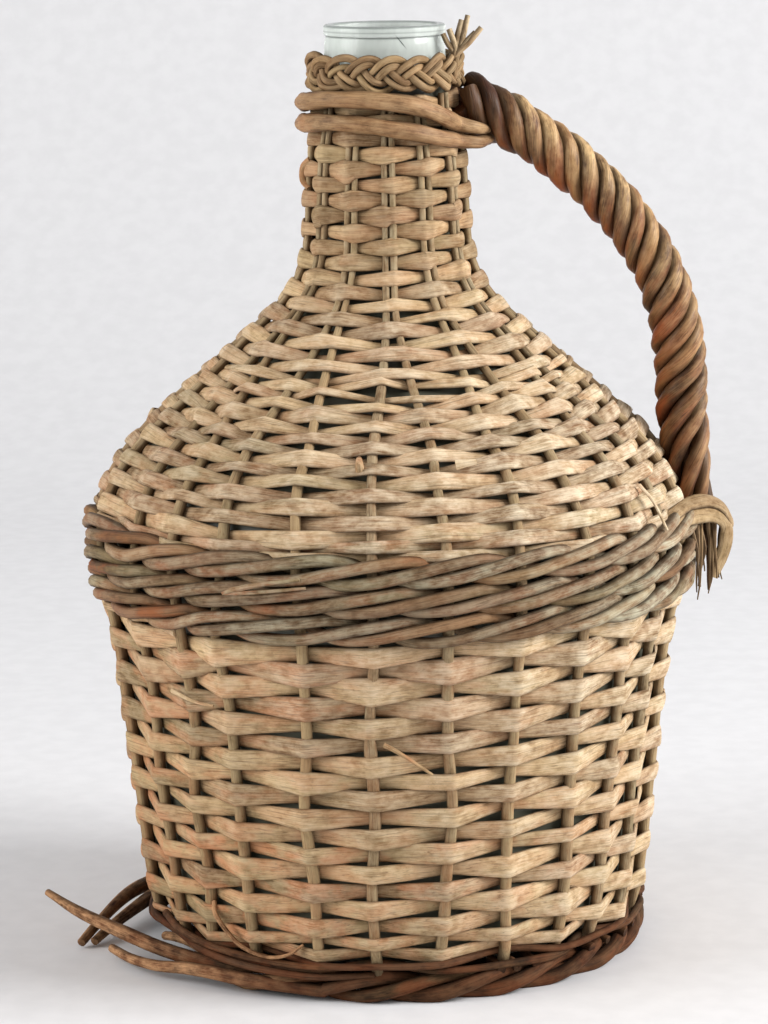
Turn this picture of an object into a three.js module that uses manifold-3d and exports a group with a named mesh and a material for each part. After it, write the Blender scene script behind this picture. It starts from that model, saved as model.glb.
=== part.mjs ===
// A wicker demijohn: a glass carboy in a woven willow cover, with a roped handle from neck to belly.
// Millimetres, +Z up. The origin is on the floor, on the bottle's axis, and +X points to the handle.
import * as THREE from "three";
import { mergeVertices } from "three/addons/utils/BufferGeometryUtils.js";
import Module from "manifold-3d";

// Glass bottle
const HEIGHT = 500; // floor to rim
const BELLY_RADIUS = 152; // at the widest level
const BELLY_HEIGHT = 230; // floor to the widest level
const BELLY_ROUND = 69; // radius of the turn from body to shoulder
const BODY_TAPER = 6.3; // degrees that the lower wall leans in
const SHOULDER_SLOPE = 48.7; // degrees from upright
const NECK_ROUND = 60; // radius of the turn from shoulder to neck
const NECK_RADIUS = 38.3; // where the shoulder's line meets the neck's
const MOUTH_RADIUS = 31.6;
const GLASS_WALL = 4;
const HEEL_ROUND = 22; // radius of the turn from wall to bottom
const PUNT_RISE = 16; // hollow pushed up under the bottom
const PUNT_SHOULDER = 0.55; // share of the heel's radius where the hollow rounds over
const PUNT_SHOULDER_RISE = 0.65; // share of the rise reached there
const LIP_HEIGHT = 6; // tooled ring at the mouth
const LIP_PROUD = 1; // how far that ring stands out

// Fit between pieces that touch
const CLEAR = 0.35;

// Upright stakes: one set round the body, side by side in pairs on the neck
const PAIRS = 13;
const STAKE_FOOT = 5.2; // diameter at the foot
const STAKE_TIP = 3.8; // diameter at the neck
const STAKE_TURN = -5.5; // degrees that the set is turned from the handle

// Split-willow strips woven round the stakes: flat behind, ridged in front
const STRIP_THICK = 1.8;
const STRIP_SPACE = 0.6; // least gap between rows
const BODY_STRIP = 8.7; // mean strip width below the wale
const SHOULDER_STRIP = 7.6; // mean strip width above the wale
const NECK_STRIP = 7; // mean strip width on the neck
const STRIP_SWELL = 0.18; // share by which a strip is wider before a stake and narrower behind
const PAIR_EASE = 0.65; // room that a strip needs to turn round a pair
const TIP_WIDTH = 2; // strip width where a weaver starts and ends
const NECK_START = 0.55; // share of the straight shoulder woven on single stakes

// Wale: three round rods round the belly
const WALE_ROD = 6.2; // diameter
const WALE_PITCH = 7.6; // row to row
const WALE_TURNS = 2;
const WALE_DROP = 10; // middle of the band, down from the widest level
const WALE_SLANT = 0.9; // rise of a rod over the two stakes that it crosses in front
const WALE_LEAD = 24; // length over which the stakes swing out to the wale

// Pairing: two thin rods where the stakes rise from the foot
const PAIRING_ROD = 3.4; // diameter
const PAIRING_PITCH = 4.4; // row to row

// Foot: a rope-laid border that the demijohn stands on
const FOOT_OUT = 1.9; // middle of the border, out from the line of the glass wall at the floor
const FOOT_STRAND = 7.2; // diameter
const FOOT_LAY_RADIUS = 5; // strand centre from the middle of the border
const FOOT_LAYS = 8; // turns of the lay round the foot
const FOOT_FLAT = 1; // worn flat where it meets the floor
const LOOSE_SPLAY = 16; // degrees that a sprung end swings out from the border
const LOOSE_ENDS = {
  long: { reach: 104, tip: 19 }, // length from the border and height of the tip
  low: { reach: 58, tip: 4 },
  back: { reach: 92, tip: 3.4 },
  stub: { reach: 62, tip: 5 },
};

// Base: a pierced cross of sticks, fanned into spokes under a woven disc
const SLIT_STICK = 8; // diameter of the sticks that are split
const THREAD_STICK = 4.4; // diameter of the sticks threaded through them
const STICK_SPACING = 9;
const STICK_LIFT = 2; // floor to the underside of the split sticks
const BASE_THICK = 3.4; // woven disc
const BASE_RIBS = 4; // rounds of weaving that show below
const BASE_RIB_DEPTH = 1.4;

// Neck: plaited border on two turns of a thick collar rod
const PLAIT_STRAND = 3.8; // diameter
const PLAIT_DEPTH = 3.2; // how far a strand swings in and out
const PLAIT_TALL = 18.5;
const PLAIT_PERIODS = 6;
const MOUTH_BARE = 14.5; // glass that shows above the plait
const PLAIT_TAIL = 14; // upright ends of the strands
const COLLAR_ROD = 9.6; // diameter
const COLLAR_PITCH = 10.8; // row to row

// Handle: five strands laid round a core
const HANDLE_STRANDS = 5;
const HANDLE_STRAND = 7.6; // diameter
const HANDLE_LAY_RADIUS = 9.8; // strand centre from the middle of the handle
const HANDLE_LEAD = 68; // length of one turn of the lay
const HANDLE_CORE = 9.4; // diameter
const HANDLE_FOOT_SHARE = 0.72; // the strands thin out to this at the lower end
const HANDLE_FOOT_TAPER = 70; // length over which they thin out
const HANDLE_DIP = 29; // degrees below level where the handle leaves the neck
const HANDLE_NECK_PULL = 68; // pull of the curve at the neck
const HANDLE_GRIP_PULL = 75; // pull of the curve at the grip
const HANDLE_UPRIGHT = 24; // upright run above the shoulder
const HANDLE_FOOT_RISE = 13; // foot of the handle, up the cover from the wale
const HANDLE_FOOT_LEAN = 10; // degrees that the foot leans out
const LASHING_ROD = 6; // diameter
const LASHING_RISE = 5; // height of the lashing on the handle's foot
const LASHING_SPREAD = 14; // degrees round the cover to each end of the lashing

const TAU = Math.PI * 2;
const STAKES = PAIRS * 2;
const rad = THREE.MathUtils.degToRad;
const lerp = THREE.MathUtils.lerp;
const vec2 = (x, y) => new THREE.Vector2(x, y);
const vec3 = (x, y, z) => new THREE.Vector3(x, y, z);
const polar = (radius, angle, z) => vec3(radius * Math.cos(angle), radius * Math.sin(angle), z);

const wasm = await Module();
wasm.setup();

// Solids

// Skin over rings of points that run anticlockwise round the way they advance, capped at both ends
function loft(rings) {
  const sides = rings[0].length;
  const last = (rings.length - 1) * sides;
  const index = [];
  for (let base = 0; base < last; base += sides) {
    for (let j = 0; j < sides; j++) {
      const a = base + j;
      const b = base + ((j + 1) % sides);
      index.push(a, b, b + sides, a, b + sides, a + sides);
    }
  }
  for (let j = 1; j + 1 < sides; j++) {
    index.push(0, j + 1, j, last, last + j, last + j + 1);
  }
  const geometry = new THREE.BufferGeometry();
  geometry.setFromPoints(rings.flat());
  geometry.setIndex(index);
  geometry.computeVertexNormals();
  return geometry;
}

// Round section in the plane of two directions
function roundSection(centre, u, v, radius, sides) {
  return Array.from({ length: sides }, (_, j) => {
    const turn = (TAU * j) / sides;
    return centre.clone()
      .addScaledVector(u, radius * Math.cos(turn))
      .addScaledVector(v, radius * Math.sin(turn));
  });
}

// Round rod through points, with a frame that turns no more than the path does
function rod(points, radiusAt, sides) {
  const count = points.length;
  let normal = null;
  return loft(points.map((point, i) => {
    const before = points[Math.max(i - 1, 0)];
    const after = points[Math.min(i + 1, count - 1)];
    const along = after.clone().sub(before).normalize();
    const seed = normal ?? (Math.abs(along.z) < 0.9 ? vec3(0, 0, 1) : vec3(1, 0, 0));
    normal = seed.clone().addScaledVector(along, -seed.dot(along)).normalize();
    const side = along.clone().cross(normal);
    return roundSection(point, normal, side, radiusAt(i / (count - 1)), sides);
  }));
}

function toSolid(geometry) {
  const bare = geometry.clone();
  bare.deleteAttribute("normal");
  bare.deleteAttribute("uv");
  const merged = mergeVertices(bare, 1e-4);
  return new wasm.Manifold(new wasm.Mesh({
    numProp: 3,
    vertProperties: new Float32Array(merged.attributes.position.array),
    triVerts: new Uint32Array(merged.index.array),
  }));
}

function cut(geometry, tool) {
  const mesh = toSolid(geometry).subtract(toSolid(tool)).getMesh();
  const result = new THREE.BufferGeometry();
  result.setAttribute("position", new THREE.BufferAttribute(mesh.vertProperties, 3));
  result.setIndex(new THREE.BufferAttribute(mesh.triVerts, 1));
  result.computeVertexNormals();
  return result;
}

function revolve(profile, facets) {
  return new THREE.LatheGeometry(profile, facets).rotateX(Math.PI / 2);
}

// Least gap between turns of a winding, on its points: nearer along the rod than half a turn is skipped
function leastGap(points, stepsPerTurn, diameter) {
  let least = Infinity;
  for (let i = 0; i < points.length; i++) {
    for (let j = i + Math.ceil(stepsPerTurn / 2); j < points.length; j++) {
      least = Math.min(least, points[i].distanceTo(points[j]) - diameter);
    }
  }
  return least;
}

// Levels

const footMiddle = FOOT_LAY_RADIUS + FOOT_STRAND / 2 - FOOT_FLAT;
const footSides = 5;
const footTop = footMiddle + FOOT_LAY_RADIUS + (FOOT_STRAND / 2) * Math.cos(Math.PI / footSides);
const stickMiddle = STICK_LIFT + SLIT_STICK / 2;
const baseBottom = STICK_LIFT + SLIT_STICK + CLEAR;
const baseTop = baseBottom + BASE_THICK;
const glassBottom = baseTop + CLEAR;
const plaitBottom = HEIGHT - MOUTH_BARE - PLAIT_TALL;
const stakeTop = plaitBottom - CLEAR;
const collarTop = stakeTop - COLLAR_ROD / 2;
const collarEnd = collarTop - 2 * COLLAR_PITCH;

// Outline of the glass, as distance from the axis and height

const taper = rad(BODY_TAPER);
const slope = rad(SHOULDER_SLOPE);
const onArc = (centre, radius, angle) =>
  vec2(centre.x + radius * Math.cos(angle), centre.y + radius * Math.sin(angle));
const bellyCentre = vec2(BELLY_RADIUS - BELLY_ROUND, BELLY_HEIGHT);
const wallTop = onArc(bellyCentre, BELLY_ROUND, -taper);
const wallRadius = (z) => wallTop.x - (wallTop.y - z) * Math.tan(taper);
const footRadius = wallRadius(0) + FOOT_OUT;
const heelCentre = vec2(
  wallRadius(glassBottom + HEEL_ROUND) - HEEL_ROUND / Math.cos(taper),
  glassBottom + HEEL_ROUND,
);
const shoulderFoot = onArc(bellyCentre, BELLY_ROUND, slope);
const neckCorner = vec2(
  NECK_RADIUS,
  shoulderFoot.y + (shoulderFoot.x - NECK_RADIUS) / Math.tan(slope),
);
const neckLean = Math.atan((NECK_RADIUS - MOUTH_RADIUS) / (HEIGHT - neckCorner.y));
const neckRadius = (z) => MOUTH_RADIUS + (HEIGHT - z) * Math.tan(neckLean);
const neckTangent = NECK_ROUND * Math.tan((slope - neckLean) / 2);
const shoulderTop = vec2(
  neckCorner.x + neckTangent * Math.sin(slope),
  neckCorner.y - neckTangent * Math.cos(slope),
);
const neckCentre = vec2(
  shoulderTop.x + NECK_ROUND * Math.cos(slope),
  shoulderTop.y + NECK_ROUND * Math.sin(slope),
);

// Knots of the outline, each with the angle at which its surface faces outward
const bellyKnot = (share) => {
  const angle = lerp(-taper, slope, share);
  return { point: onArc(bellyCentre, BELLY_ROUND, angle), angle };
};
const filletKnot = (share) => {
  const angle = lerp(slope, neckLean, share);
  return { point: onArc(neckCentre, NECK_ROUND, Math.PI + angle), angle };
};
const wallKnot = (z) => ({ point: vec2(wallRadius(z), z), angle: -taper });

// Stake line: the path of a stake's middle, kept off the glass by what is woven behind it

const stakeRadius = (z) => lerp(STAKE_FOOT, STAKE_TIP, (z - footTop) / (stakeTop - footTop)) / 2;
const waleHalf = (WALE_TURNS * 3 * WALE_PITCH) / 2;
const waleFoot = BELLY_HEIGHT - WALE_DROP - waleHalf;
const glassToStake = (z, behind) => CLEAR + behind + CLEAR + stakeRadius(z);
const offGlass = ({ point, angle }, behind) => {
  const off = glassToStake(point.y, behind);
  return vec2(point.x + off * Math.cos(angle), point.y + off * Math.sin(angle));
};
const neckBehind = STRIP_THICK + PAIR_EASE - CLEAR;
const filletBehind = neckBehind + (NECK_STRIP / 2) * Math.sin((slope - neckLean) / 4);
const stakeLine = [
  vec2(footRadius, footTop + CLEAR),
  offGlass(wallKnot(heelCentre.y - HEEL_ROUND / 2), STRIP_THICK),
  offGlass(wallKnot(waleFoot - WALE_LEAD), STRIP_THICK),
  offGlass(wallKnot(waleFoot), WALE_ROD),
  offGlass(bellyKnot(0), WALE_ROD),
  offGlass(bellyKnot(1 / 3), WALE_ROD),
  offGlass(bellyKnot(2 / 3), STRIP_THICK),
  offGlass(bellyKnot(1), STRIP_THICK),
  offGlass(filletKnot(0), filletBehind),
  offGlass(filletKnot(0.5), filletBehind),
  offGlass(filletKnot(1), filletBehind),
  vec2(neckRadius(stakeTop) + glassToStake(stakeTop, neckBehind), stakeTop),
];
const lastSingle = 7; // knot where the stakes begin to draw together
const leanKnot = 6; // knot on the upper belly that the handle leans on

const knotLength = [0];
for (let k = 1; k < stakeLine.length; k++) {
  knotLength.push(knotLength[k - 1] + stakeLine[k].distanceTo(stakeLine[k - 1]));
}
const runNormal = (k) => {
  const run = stakeLine[k + 1].clone().sub(stakeLine[k]).normalize();
  return vec2(run.y, -run.x);
};
// Direction in which equal offsets from the stake line stay parallel to it, level at both ends
const knotOutward = stakeLine.map((_, k) => {
  if (k === 0) return vec2(1 / runNormal(0).x, 0);
  if (k === stakeLine.length - 1) return vec2(1 / runNormal(k - 1).x, 0);
  const below = runNormal(k - 1);
  const above = runNormal(k);
  return below.clone().add(above).divideScalar(1 + below.dot(above));
});

function findRun(length) {
  const k = knotLength.findIndex((end, i) => i > 0 && length <= end);
  const upper = k < 0 ? stakeLine.length - 1 : k;
  const share = (length - knotLength[upper - 1]) / (knotLength[upper] - knotLength[upper - 1]);
  return { lower: upper - 1, upper, share };
}

function lengthAt(z) {
  const upper = stakeLine.findIndex((knot, i) => i > 0 && z <= knot.y);
  const low = stakeLine[upper - 1];
  const share = (z - low.y) / (stakeLine[upper].y - low.y);
  return lerp(knotLength[upper - 1], knotLength[upper], share);
}

// How far a bend of the stake line stands out from the straight between two lengths
function bendBetween(low, high) {
  const [start, end] = [low, high].map((length) => {
    const { lower, upper, share } = findRun(length);
    return stakeLine[lower].clone().lerp(stakeLine[upper], share);
  });
  const run = end.clone().sub(start).normalize();
  const bends = stakeLine
    .filter((_, k) => knotLength[k] > low && knotLength[k] < high)
    .map((knot) => knot.clone().sub(start).dot(vec2(run.y, -run.x)));
  return { out: Math.max(0, ...bends), in: Math.max(0, ...bends.map((bend) => -bend)) };
}

function stakeAngle(i, k) {
  const turn = rad(STAKE_TURN);
  if (k <= lastSingle) return turn + ((i + 0.5) * TAU) / STAKES;
  const knot = stakeLine[k];
  const apart = (stakeRadius(knot.y) + CLEAR / 2) / knot.x;
  const middle = turn + (2 * Math.ceil(i / 2) * TAU) / STAKES;
  return middle + (i % 2 ? -apart : apart);
}

const stakeKnots = Array.from({ length: STAKES }, (_, i) =>
  stakeLine.map((knot, k) => polar(knot.x, stakeAngle(i, k), knot.y)));

// Place on a stake at a length up its line: the point, the way outward and the way up
function onStake(i, length) {
  const { lower, upper, share } = findRun(length);
  const knots = stakeKnots[i % STAKES];
  const point = knots[lower].clone().lerp(knots[upper], share);
  const flat = knotOutward[lower].clone().lerp(knotOutward[upper], share);
  const outward = polar(flat.x, Math.atan2(point.y, point.x), flat.y);
  const up = knots[upper].clone().sub(knots[lower]).normalize();
  return { point, outward, up, radius: stakeRadius(point.z) };
}

// Glass

function glassGeometry() {
  const heel = Array.from({ length: 4 }, (_, i) =>
    onArc(heelCentre, HEEL_ROUND, lerp(-Math.PI / 2, -taper, i / 3)));
  const knots = [
    wallKnot(waleFoot),
    ...[0, 1 / 3, 2 / 3, 1].map(bellyKnot),
    ...[0, 0.5, 1].map(filletKnot),
  ];
  const inward = ({ point, angle }) =>
    vec2(point.x - GLASS_WALL * Math.cos(angle), point.y - GLASS_WALL * Math.sin(angle));
  const lip = HEIGHT - LIP_HEIGHT;
  const bore = MOUTH_RADIUS - GLASS_WALL;
  const puntShoulder = vec2(
    heelCentre.x * PUNT_SHOULDER,
    glassBottom + PUNT_RISE * PUNT_SHOULDER_RISE,
  );
  const profile = [
    vec2(0, glassBottom + PUNT_RISE),
    puntShoulder,
    ...heel,
    ...knots.map((knot) => knot.point),
    vec2(neckRadius(lip), lip - LIP_PROUD),
    vec2(MOUTH_RADIUS + LIP_PROUD, lip),
    vec2(MOUTH_RADIUS + LIP_PROUD, HEIGHT - LIP_PROUD),
    vec2(MOUTH_RADIUS, HEIGHT),
    vec2(bore + LIP_PROUD, HEIGHT),
    vec2(bore, HEIGHT - LIP_PROUD),
    ...knots.map(inward).reverse(),
    inward({ point: heel[3], angle: -taper }),
    vec2(heelCentre.x, glassBottom + GLASS_WALL),
    vec2(puntShoulder.x, puntShoulder.y + GLASS_WALL),
    vec2(0, glassBottom + PUNT_RISE + GLASS_WALL),
  ];
  return revolve(profile, STAKES);
}

// Willow cover

function stakeGeometry(i) {
  return loft(knotLength.map((length) => {
    const { point, outward, up, radius } = onStake(i, length);
    const across = up.clone().cross(outward).normalize();
    return roundSection(point, outward, across, radius, 4);
  }));
}

// Weavers that chase each other up the stakes, over and under so many stakes at a time. Each starts
// and ends as a narrow tip, so that the woven field begins and finishes level.
function weave(from, to, strip, weavers, group, ease) {
  const rows = weavers * Math.floor((to - from) / (strip + STRIP_SPACE) / weavers);
  const pitch = (to - from) / rows;
  const space = pitch - strip;
  const turns = rows / weavers + 1;
  const tip = Math.ceil((STAKES * (TIP_WIDTH + space)) / pitch);
  return Array.from({ length: weavers }, (_, w) => {
    const rings = [];
    for (let i = tip; i <= turns * STAKES - tip; i++) {
      const low = from + pitch * weavers * Math.max(0, i / STAKES - 1);
      const high = from + pitch * weavers * Math.min(i / STAKES, turns - 1);
      const row = (high - low) / weavers;
      const middle = low + row * (w + 0.5);
      const front = (Math.ceil(i / group) + w) % 2 === 0;
      const half = ((row - space) / 2) * (1 + (front ? STRIP_SWELL : -STRIP_SWELL));
      const bend = bendBetween(middle - half, middle + half);
      const edge = (length, rise) => {
        const { point, outward, radius } = onStake(i, length);
        const back = front ? radius + ease + bend.out : -radius - ease - bend.in - STRIP_THICK;
        return point.addScaledVector(outward, back + rise);
      };
      rings.push([edge(middle + half, 0), edge(middle, STRIP_THICK), edge(middle - half, 0)]);
    }
    return loft(rings);
  });
}

// Round rod laid before or behind each stake: steps give the stake, its length up and which side
function wovenRod(steps, diameter, sides) {
  return loft(steps.map(({ stake, length, front }) => {
    const { point, outward, up, radius } = onStake(stake, length);
    const off = radius + CLEAR + diameter / 2;
    point.addScaledVector(outward, front ? off : -off);
    return roundSection(point, up, outward, diameter / 2, sides);
  }));
}

const waleStart = lengthAt(waleFoot);
const waleEnd = waleStart + 2 * waleHalf;
const waleSeam = 1; // stake at which the rods start
const waleClimb = 3; // stakes over which a rod climbs to its next turn

// Three-rod wale: before two stakes, behind one, climbing to the next turn under the handle, where
// the starts and ends are stepped to fill the band
function waleSteps(k) {
  const steps = [];
  const end = waleSeam + WALE_TURNS * STAKES - waleClimb + k;
  for (let i = waleSeam + k - 2; i <= end; i++) {
    const round = Math.max(0, (i - waleSeam) / STAKES);
    const turn = Math.min(Math.floor(round), WALE_TURNS - 1);
    const past = (round - turn) * STAKES - (STAKES - waleClimb);
    const climbed = turn < WALE_TURNS - 1 ? Math.max(0, past) / waleClimb : 0;
    const row = k + 0.5 + 3 * (turn + climbed);
    const phase = (i + k + 3) % 3;
    const slant = [-WALE_SLANT, WALE_SLANT, 0][phase];
    const length = waleStart + row * WALE_PITCH + slant;
    steps.push({ stake: i + STAKES, length, front: phase < 2 });
  }
  return steps;
}

const pairingStart = CLEAR + PAIRING_ROD / 2;
const bodyStart = pairingStart + PAIRING_PITCH + PAIRING_ROD / 2 + CLEAR;

function pairingSteps(k) {
  return Array.from({ length: STAKES }, (_, i) => ({
    stake: i,
    length: pairingStart + k * PAIRING_PITCH,
    front: (i + k) % 2 === 0,
  }));
}

// Foot border: three strands laid as a rope, parted at the left, where some ends have sprung loose

const layAngle = (strand, angle) => (TAU * strand) / 3 + FOOT_LAYS * angle;

// Angle near a wanted one at which a strand lies on the outside of the border, half a step up
const laySteps = 6;
function outside(strand, wanted) {
  const lay = TAU / FOOT_LAYS;
  const first = lay * (0.5 / laySteps - strand / 3);
  return first + lay * Math.round((rad(wanted) - first) / lay);
}

function onBorder(strand, angle) {
  const lay = layAngle(strand, angle);
  const radius = footRadius + FOOT_LAY_RADIUS * Math.cos(lay);
  return polar(radius, angle, footMiddle + FOOT_LAY_RADIUS * Math.sin(lay));
}

// Sprung end: leaves the border at an angle, on in the direction given, to a tip at some height
function sprungEnd(from, angle, direction, { reach, tip }) {
  const along = angle + direction * (Math.PI / 2 - rad(LOOSE_SPLAY));
  return [1 / 3, 2 / 3, 1].map((share) =>
    from.clone()
      .add(polar(reach * share, along, 0))
      .setZ(lerp(from.z, tip, share)));
}

// Where each strand starts and ends, in degrees from the handle, and how its ends have sprung
const BORDER_STRANDS = [
  { start: 225, end: 495, sprungStart: LOOSE_ENDS.long, sprungEnd: LOOSE_ENDS.stub },
  { start: 210, end: 525, sprungStart: LOOSE_ENDS.low },
  { start: 195, end: 510, sprungEnd: LOOSE_ENDS.back },
];

function borderGeometry(strand) {
  const plan = BORDER_STRANDS[strand];
  const start = outside(strand, plan.start);
  const end = outside(strand, plan.end);
  const steps = Math.round(((end - start) / TAU) * FOOT_LAYS * laySteps);
  const path = Array.from({ length: steps + 1 }, (_, i) => {
    const angle = lerp(start, end, i / steps);
    return { angle, point: onBorder(strand, angle) };
  });
  const spring = (from, direction, ending) =>
    sprungEnd(from.point, from.angle, direction, ending).map((point) => ({ ...from, point }));
  if (plan.sprungStart) path.unshift(...spring(path[0], -1, plan.sprungStart).reverse());
  if (plan.sprungEnd) path.push(...spring(path.at(-1), 1, plan.sprungEnd));
  const down = vec3(0, 0, -1);
  const strandSolid = loft(path.map(({ angle, point }) =>
    roundSection(point, down, polar(-1, angle, 0), FOOT_STRAND / 2, footSides)));
  const floor = new THREE.BoxGeometry(HEIGHT * 2, HEIGHT * 2, HEIGHT).translate(0, 0, -HEIGHT / 2);
  return cut(strandSolid, floor);
}

// Base

const baseRadius = footRadius - FOOT_LAY_RADIUS - FOOT_STRAND / 2 - CLEAR;
const slathHalf = STICK_SPACING + SLIT_STICK;

// Stick across the base: straight through the cross, then fanned out towards the border
function stickPoints(row) {
  const fan = (row * Math.PI) / 6;
  const tip = baseRadius - THREAD_STICK;
  const arm = [
    vec3(tip * Math.cos(fan), tip * Math.sin(fan), stickMiddle),
    vec3(slathHalf, row * STICK_SPACING, stickMiddle),
  ];
  return [...arm, ...arm.map((point) => vec3(-point.x, point.y, point.z)).reverse()];
}

function slitStickGeometry(row) {
  const slit = new THREE.BoxGeometry(
    2 * (STICK_SPACING + THREAD_STICK / 2 + CLEAR),
    SLIT_STICK * 2,
    THREAD_STICK + 2 * CLEAR,
  ).translate(0, row * STICK_SPACING, stickMiddle);
  return cut(rod(stickPoints(row), () => SLIT_STICK / 2, 6), slit);
}

function threadStickGeometry(row) {
  return rod(stickPoints(row), () => THREAD_STICK / 2, 6).rotateZ(Math.PI / 2);
}

function baseGeometry() {
  const inner = slathHalf + SLIT_STICK;
  const rib = (baseRadius - inner) / BASE_RIBS;
  const ribs = Array.from({ length: BASE_RIBS }, (_, i) => [
    vec2(inner + rib * i, baseBottom + BASE_RIB_DEPTH),
    vec2(inner + rib * (i + 0.5), baseBottom),
  ]).flat();
  const rim = baseBottom + BASE_RIB_DEPTH;
  const edge = [vec2(baseRadius, rim), vec2(baseRadius, baseTop)];
  return revolve([vec2(0, rim), ...ribs, ...edge, vec2(0, baseTop)], STAKES);
}

// Neck

// Plait strand: side to side over the plait's height, in and out as it passes the other two
const plaitSwing = (PLAIT_TALL - PLAIT_STRAND) / 2;
const plaitMiddle = neckRadius(plaitBottom) + CLEAR + PLAIT_STRAND / 2 + PLAIT_DEPTH;
const plaitTailAngle = rad(-12);

function plaitPoints(strand) {
  const perTurn = PLAIT_PERIODS * 6;
  const points = [];
  for (let i = 0; i < perTurn - 1; i++) {
    const swing = (TAU * (i + 0.5)) / 6 + (TAU * strand) / 3;
    points.push(polar(
      plaitMiddle + PLAIT_DEPTH * Math.sin(2 * swing),
      plaitTailAngle + (TAU * (i + 1)) / perTurn,
      plaitBottom + PLAIT_TALL / 2 + plaitSwing * Math.sin(swing),
    ));
  }
  return points;
}

// A strand that ends in the upper half of the plait runs out into an upright tail
function plaitGeometry(strand) {
  const points = plaitPoints(strand);
  const end = points.at(-1);
  const inside = Math.hypot(end.x, end.y) < plaitMiddle;
  const lean = end.clone().setZ(0).setLength(inside ? 0 : PLAIT_STRAND * 1.5);
  if (end.z > plaitBottom + PLAIT_TALL / 2) {
    for (const share of [0.4, 1]) {
      points.push(end.clone().addScaledVector(lean, share).add(vec3(0, 0, PLAIT_TAIL * share)));
    }
  }
  return rod(points, () => PLAIT_STRAND / 2, 5);
}

// Collar: one rod from the back of the handle, round the neck and off along the handle's front
const collarLoop = 24; // steps in a turn
const collarSides = 6;
const collarInner = neckRadius(collarEnd) + CLEAR + neckBehind + CLEAR
  + 2 * stakeRadius(collarEnd) + CLEAR;
const collarCentre = (collarInner + COLLAR_ROD / 2) / Math.cos(Math.PI / collarLoop);
const collarOuter = collarCentre + (COLLAR_ROD / 2) * Math.cos(Math.PI / collarSides);
const ropeRadius = HANDLE_LAY_RADIUS + HANDLE_STRAND / 2;
const dip = rad(HANDLE_DIP);
const handleTop = collarOuter + CLEAR + ropeRadius * Math.sin(dip);
const beside = vec2(handleTop + ropeRadius, ropeRadius + CLEAR + COLLAR_ROD / 2);
const collarFrom = beside.angle() + Math.acos(collarCentre / beside.length());
const collarLevel = (angle) => collarTop - (COLLAR_PITCH * (angle - collarFrom)) / TAU;

// The core runs on past the strands until its lower edge butts on the collar
const coreButt = (ropeRadius - HANDLE_CORE / 2) * Math.tan(dip);
const handleTopHeight = collarLevel(TAU) + (HANDLE_CORE / 2) * Math.cos(dip) - coreButt * Math.sin(dip);

function collarPoints() {
  const to = 2 * TAU - collarFrom;
  const steps = 2 * Math.round(((to - collarFrom) / TAU) * (collarLoop / 2));
  const turns = Array.from({ length: steps + 1 }, (_, i) => {
    const angle = lerp(collarFrom, to, i / steps);
    return polar(collarCentre, angle, collarLevel(angle));
  });
  const grip = handleTopHeight - ropeRadius * Math.tan(dip);
  const first = vec3(beside.x, beside.y, grip);
  const last = vec3(beside.x, -beside.y, grip);
  const lead = (end, turn) => end.clone().lerp(turn, 0.5).setZ(lerp(turn.z, end.z, 0.1));
  return [first, lead(first, turns[0]), ...turns, lead(last, turns.at(-1)), last];
}

// Handle

// Point in the handle's plane, out from the strips that cross in front of a stake
function offCover(length, off) {
  const { lower, upper, share } = findRun(length);
  const knot = stakeLine[lower].clone().lerp(stakeLine[upper], share);
  const outward = knotOutward[lower].clone().lerp(knotOutward[upper], share);
  const cover = stakeRadius(knot.y) + CLEAR + STRIP_THICK;
  return knot.addScaledVector(outward, cover + CLEAR + off);
}

function handlePath() {
  const top = vec3(handleTop, 0, handleTopHeight);
  const lean = offCover(knotLength[leanKnot], ropeRadius);
  const seat = offCover(waleEnd + HANDLE_FOOT_RISE, ropeRadius * HANDLE_FOOT_SHARE);
  const grip = vec3(lean.x, 0, lean.y + HANDLE_UPRIGHT);
  const foot = vec3(seat.x, 0, seat.y);
  const path = new THREE.CurvePath();
  path.add(new THREE.CubicBezierCurve3(
    top,
    top.clone().add(vec3(HANDLE_NECK_PULL * Math.cos(dip), 0, -HANDLE_NECK_PULL * Math.sin(dip))),
    grip.clone().add(vec3(0, 0, HANDLE_GRIP_PULL)),
    grip,
  ));
  const run = grip.distanceTo(foot) / 3;
  const footLean = rad(HANDLE_FOOT_LEAN);
  path.add(new THREE.CubicBezierCurve3(
    grip,
    grip.clone().add(vec3(0, 0, -run)),
    foot.clone().add(vec3(-run * Math.sin(footLean), 0, run * Math.cos(footLean))),
    foot,
  ));
  return path;
}

const handle = handlePath();
const handleLength = handle.getLength();
const handleThin = (share) => {
  const left = (1 - share) * handleLength;
  return lerp(HANDLE_FOOT_SHARE, 1, Math.min(1, left / HANDLE_FOOT_TAPER));
};

function handleStrandGeometry(strand) {
  const steps = Math.round((handleLength / HANDLE_LEAD) * 8);
  const points = Array.from({ length: steps + 1 }, (_, i) => {
    const share = i / steps;
    const along = handle.getTangentAt(share);
    const across = vec3(along.z, 0, -along.x);
    const turn = TAU * (strand / HANDLE_STRANDS + (share * handleLength) / HANDLE_LEAD);
    const off = HANDLE_LAY_RADIUS * handleThin(share);
    return handle.getPointAt(share)
      .addScaledVector(across, off * Math.cos(turn))
      .addScaledVector(vec3(0, 1, 0), off * Math.sin(turn));
  });
  return rod(points, (share) => (HANDLE_STRAND / 2) * handleThin(share), 5);
}

function handleCoreGeometry() {
  const steps = 16;
  const points = Array.from({ length: steps + 1 }, (_, i) => handle.getPointAt(i / steps));
  points[0].addScaledVector(handle.getTangentAt(0), -coreButt);
  return rod(points, (share) => (HANDLE_CORE / 2) * handleThin(share), 6);
}

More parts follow.
